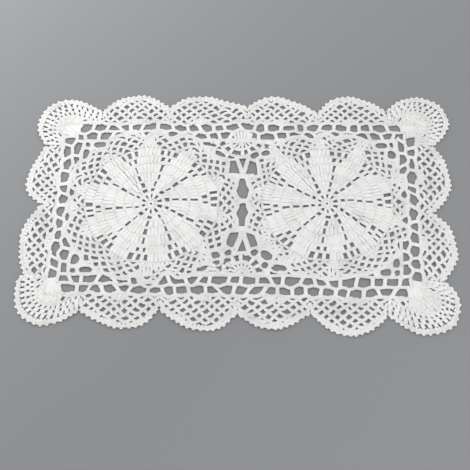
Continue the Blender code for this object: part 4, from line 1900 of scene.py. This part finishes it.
@dataclass(frozen=True)
class CottonFinish:
    """Bleached crochet cotton: its colour with painted shade in its grooves, its sheen and the twist
    of its plies.
    """

    name: str = SLOT
    colour: tuple = (0.9, 0.9, 0.89, 1.0)
    # The colour ramp's dark end, reached by random tone and by the painted shade in the grooves
    # between stitches
    shade: tuple = (0.72, 0.72, 0.71, 1.0)
    roughness: float = 0.86
    sheen: float = 0.35
    sheen_roughness: float = 0.55
    ridge_depth: float = 0.0004
    ply_depth: float = 0.00009
    fibre_scale: float = 2600.0
    fibre_depth: float = 0.00005
    tone_share: float = 0.09
    # Painted shade: how far the colour darkens in the grooves between stitches
    groove_painted_shade: float = 0.26
    patch_scale: float = 38.0
    noise_detail: float = 3.0
    shade_end: float = 0.36
    colour_end: float = 0.72
    twists: float = 2.0
    plies: float = 5.0
    relief: float = 0.7

    def sum_of(self, tree: bpy.types.NodeTree, terms: Sequence[tuple]) -> bpy.types.NodeSocket:
        """Adds up outputs, each times a number.

        Args:
            tree: The material's node tree.
            terms: Pairs of an output and its number.

        Returns:
            The sum's output.
        """
        total = None
        for output, factor in terms:
            added = tree.nodes.new("ShaderNodeMath")
            added.operation = "MULTIPLY_ADD"
            tree.links.new(output, added.inputs[0])
            added.inputs[1].default_value = factor
            added.inputs[2].default_value = 0.0
            if total is not None:
                tree.links.new(total, added.inputs[2])
            total = added.outputs["Value"]
        return total

    def ripple(
        self, tree: bpy.types.NodeTree, phase: bpy.types.NodeSocket
    ) -> bpy.types.NodeSocket:
        """The sine of an output.

        Args:
            tree: The material's node tree.
            phase: The output.

        Returns:
            The sine's output.
        """
        wave = tree.nodes.new("ShaderNodeMath")
        wave.operation = "SINE"
        tree.links.new(phase, wave.inputs[0])
        return wave.outputs["Value"]

    def bump(
        self,
        tree: bpy.types.NodeTree,
        height: bpy.types.NodeSocket,
        depth: float,
        under: bpy.types.NodeSocket | None = None,
    ) -> bpy.types.NodeSocket:
        """A bump of a depth over another one's normals, or over the bare surface.

        Args:
            tree: The material's node tree.
            height: The output that gives the height.
            depth: The relief's depth, in metres.
            under: The normals under it, if any.

        Returns:
            The new normals' output.
        """
        relief = tree.nodes.new("ShaderNodeBump")
        relief.inputs["Strength"].default_value = self.relief
        relief.inputs["Distance"].default_value = depth
        tree.links.new(height, relief.inputs["Height"])
        if under is not None:
            tree.links.new(under, relief.inputs["Normal"])
        return relief.outputs["Normal"]

    def make(self) -> bpy.types.Material:
        """Makes the material.

        Returns:
            The finished material.
        """
        material = bpy.data.materials.new(self.name + "_yarn")
        material.use_nodes = True
        tree = material.node_tree
        nodes, links = tree.nodes, tree.links
        shader = nodes["Principled BSDF"]
        shader.inputs["Roughness"].default_value = self.roughness
        shader.inputs["Sheen Weight"].default_value = self.sheen
        shader.inputs["Sheen Roughness"].default_value = self.sheen_roughness
        place = nodes.new("ShaderNodeTexCoord")
        tone = nodes.new("ShaderNodeAttribute")
        tone.attribute_name = "tone"
        patches, fibres = nodes.new("ShaderNodeTexNoise"), nodes.new("ShaderNodeTexNoise")
        for noise, scale in ((patches, self.patch_scale), (fibres, self.fibre_scale)):
            noise.inputs["Scale"].default_value = scale
            noise.inputs["Detail"].default_value = self.noise_detail
            links.new(place.outputs["Object"], noise.inputs["Vector"])
        yarn = nodes.new("ShaderNodeUVMap")
        yarn.uv_map = "yarn"
        split = nodes.new("ShaderNodeSeparateXYZ")
        links.new(yarn.outputs["UV"], split.inputs["Vector"])
        along, around = split.outputs["X"], split.outputs["Y"]
        ridge = nodes.new("ShaderNodeMath")
        ridge.operation = "ABSOLUTE"
        stitches = self.sum_of(tree, ((along, math.pi),))
        links.new(self.ripple(tree, stitches), ridge.inputs[0])
        twist = self.sum_of(tree, ((along, TURN * self.twists), (around, TURN * self.plies)))
        plies = self.ripple(tree, twist)
        # Colour from random tone and patches, with painted shade that darkens the grooves between
        # stitches
        terms = (
            (tone.outputs["Fac"], self.tone_share),
            (ridge.outputs["Value"], self.groove_painted_shade),
            (patches.outputs["Fac"], 1.0),
        )
        ramp = nodes.new("ShaderNodeValToRGB")
        stops = ((self.shade_end, self.shade), (self.colour_end, self.colour))
        for element, (position, colour) in zip(ramp.color_ramp.elements, stops):
            element.position = position
            element.color = colour
        links.new(self.sum_of(tree, terms), ramp.inputs["Fac"])
        links.new(ramp.outputs["Color"], shader.inputs["Base Color"])
        relief = self.bump(tree, ridge.outputs["Value"], self.ridge_depth)
        relief = self.bump(tree, plies, self.ply_depth, relief)
        relief = self.bump(tree, fibres.outputs["Fac"], self.fibre_depth, relief)
        links.new(relief, shader.inputs["Normal"])
        return material


@dataclass(frozen=True)
class Lamp:
    """One square soft light: its name, its place and size in metres, and its power in watts."""

    name: str
    place: tuple[float, float, float]
    size: float
    power: float


@dataclass
class Studio:
    """The pale floor, the soft lights and the camera at the photograph's angle."""

    aim: tuple = (-4.36, -32.84, 1.0)
    distance: float = 1184.5
    elevation: float = 60.0
    lens: float = 88.09
    sensor: float = 36.0
    floor_size: float = 8.0
    floor_colour: tuple = (0.265, 0.27, 0.28, 1.0)
    floor_roughness: float = 0.7
    floor_gloss: float = 0.2
    sky_colour: tuple = (1.0, 1.0, 1.0, 1.0)
    sky_strength: float = 1.0
    lamps: tuple[Lamp, ...] = (
        Lamp("key_light", (-0.9, 0.9, 1.3), 0.6, 68.0),
        Lamp("fill_light", (1.3, -0.9, 1.6), 1.4, 22.0),
    )

    def floor(self) -> bpy.types.Object:
        """Lays the plain floor, just under the doily.

        Returns:
            The floor.
        """
        bpy.ops.object.select_all(action="DESELECT")
        bpy.ops.mesh.primitive_plane_add(size=self.floor_size, location=(0.0, 0.0, 0.0))
        floor = bpy.context.active_object
        floor.name = "floor"
        material = bpy.data.materials.new("pale_floor")
        material.use_nodes = True
        shader = material.node_tree.nodes["Principled BSDF"]
        shader.inputs["Base Color"].default_value = self.floor_colour
        shader.inputs["Roughness"].default_value = self.floor_roughness
        shader.inputs["Specular IOR Level"].default_value = self.floor_gloss
        floor.data.materials.append(material)
        return floor

    def light(self, lamp: Lamp) -> bpy.types.Object:
        """Hangs one lamp, turned to the doily.

        Args:
            lamp: The lamp.

        Returns:
            The light.
        """
        data = bpy.data.lights.new(lamp.name, "AREA")
        data.shape = "SQUARE"
        data.size = lamp.size
        data.energy = lamp.power
        light = bpy.data.objects.new(lamp.name, data)
        bpy.context.scene.collection.objects.link(light)
        light.location = lamp.place
        aim = -np.array(lamp.place)
        yaw = math.atan2(aim[1], aim[0])
        pitch = math.acos(-aim[2] / float(np.linalg.norm(aim)))
        light.rotation_euler = (0.0, -pitch, yaw + math.pi)
        return light

    def camera(self) -> bpy.types.Object:
        """Sets the camera on the near side, looking down at the doily.

        Returns:
            The camera.
        """
        data = bpy.data.cameras.new("camera")
        data.lens = self.lens
        data.sensor_width = self.sensor
        camera = bpy.data.objects.new("camera", data)
        bpy.context.scene.collection.objects.link(camera)
        tilt = math.radians(self.elevation)
        aim = np.array(self.aim) * MM
        reach = self.distance * MM
        camera.location = aim + reach * np.array((0.0, -math.cos(tilt), math.sin(tilt)))
        camera.rotation_euler = (math.pi / 2.0 - tilt, 0.0, 0.0)
        bpy.context.scene.camera = camera
        return camera

    def set_up(self) -> None:
        """Sets up the floor, the lights, the sky and the camera."""
        self.floor()
        for lamp in self.lamps:
            self.light(lamp)
        world = bpy.data.worlds.new("studio")
        world.use_nodes = True
        sky = world.node_tree.nodes["Background"]
        sky.inputs["Color"].default_value = self.sky_colour
        sky.inputs["Strength"].default_value = self.sky_strength
        bpy.context.scene.world = world
        bpy.context.scene.view_settings.view_transform = "Standard"
        self.camera()


def dress(piece: bpy.types.Object, finish: bpy.types.Material, flat: tuple, area: float) -> None:
    """Gives a piece its finish, hangs it from the root body and hides the imported sheet.

    Args:
        piece: The piece.
        finish: Its material.
        flat: Its flat width and length, in metres. Not used.
        area: Its flat area, in square metres. Not used.
    """
    piece.data.materials.append(finish)
    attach(piece, BODY)
    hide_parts(NODE)


def main() -> None:
    """Works every piece, dresses it, and sets up the studio."""
    logging.basicConfig(level=logging.INFO, format="%(message)s")
    finish = CottonFinish().make()
    Studio().set_up()
    for maker in (*MEDALLIONS, *MESH_SIDES, MiddleJoin(), *EDGINGS):
        piece = maker.build()
        flat, area = maker.flat_size()
        triangles = sum(len(face.vertices) - 2 for face in piece.data.polygons)
        surface = sum(face.area for face in piece.data.polygons)
        log.info("%s: %d triangles, area share %.2f", piece.name, triangles, surface / area / 2.0)
        dress(piece, finish, flat, area)


if __name__ == "__main__":
    main()
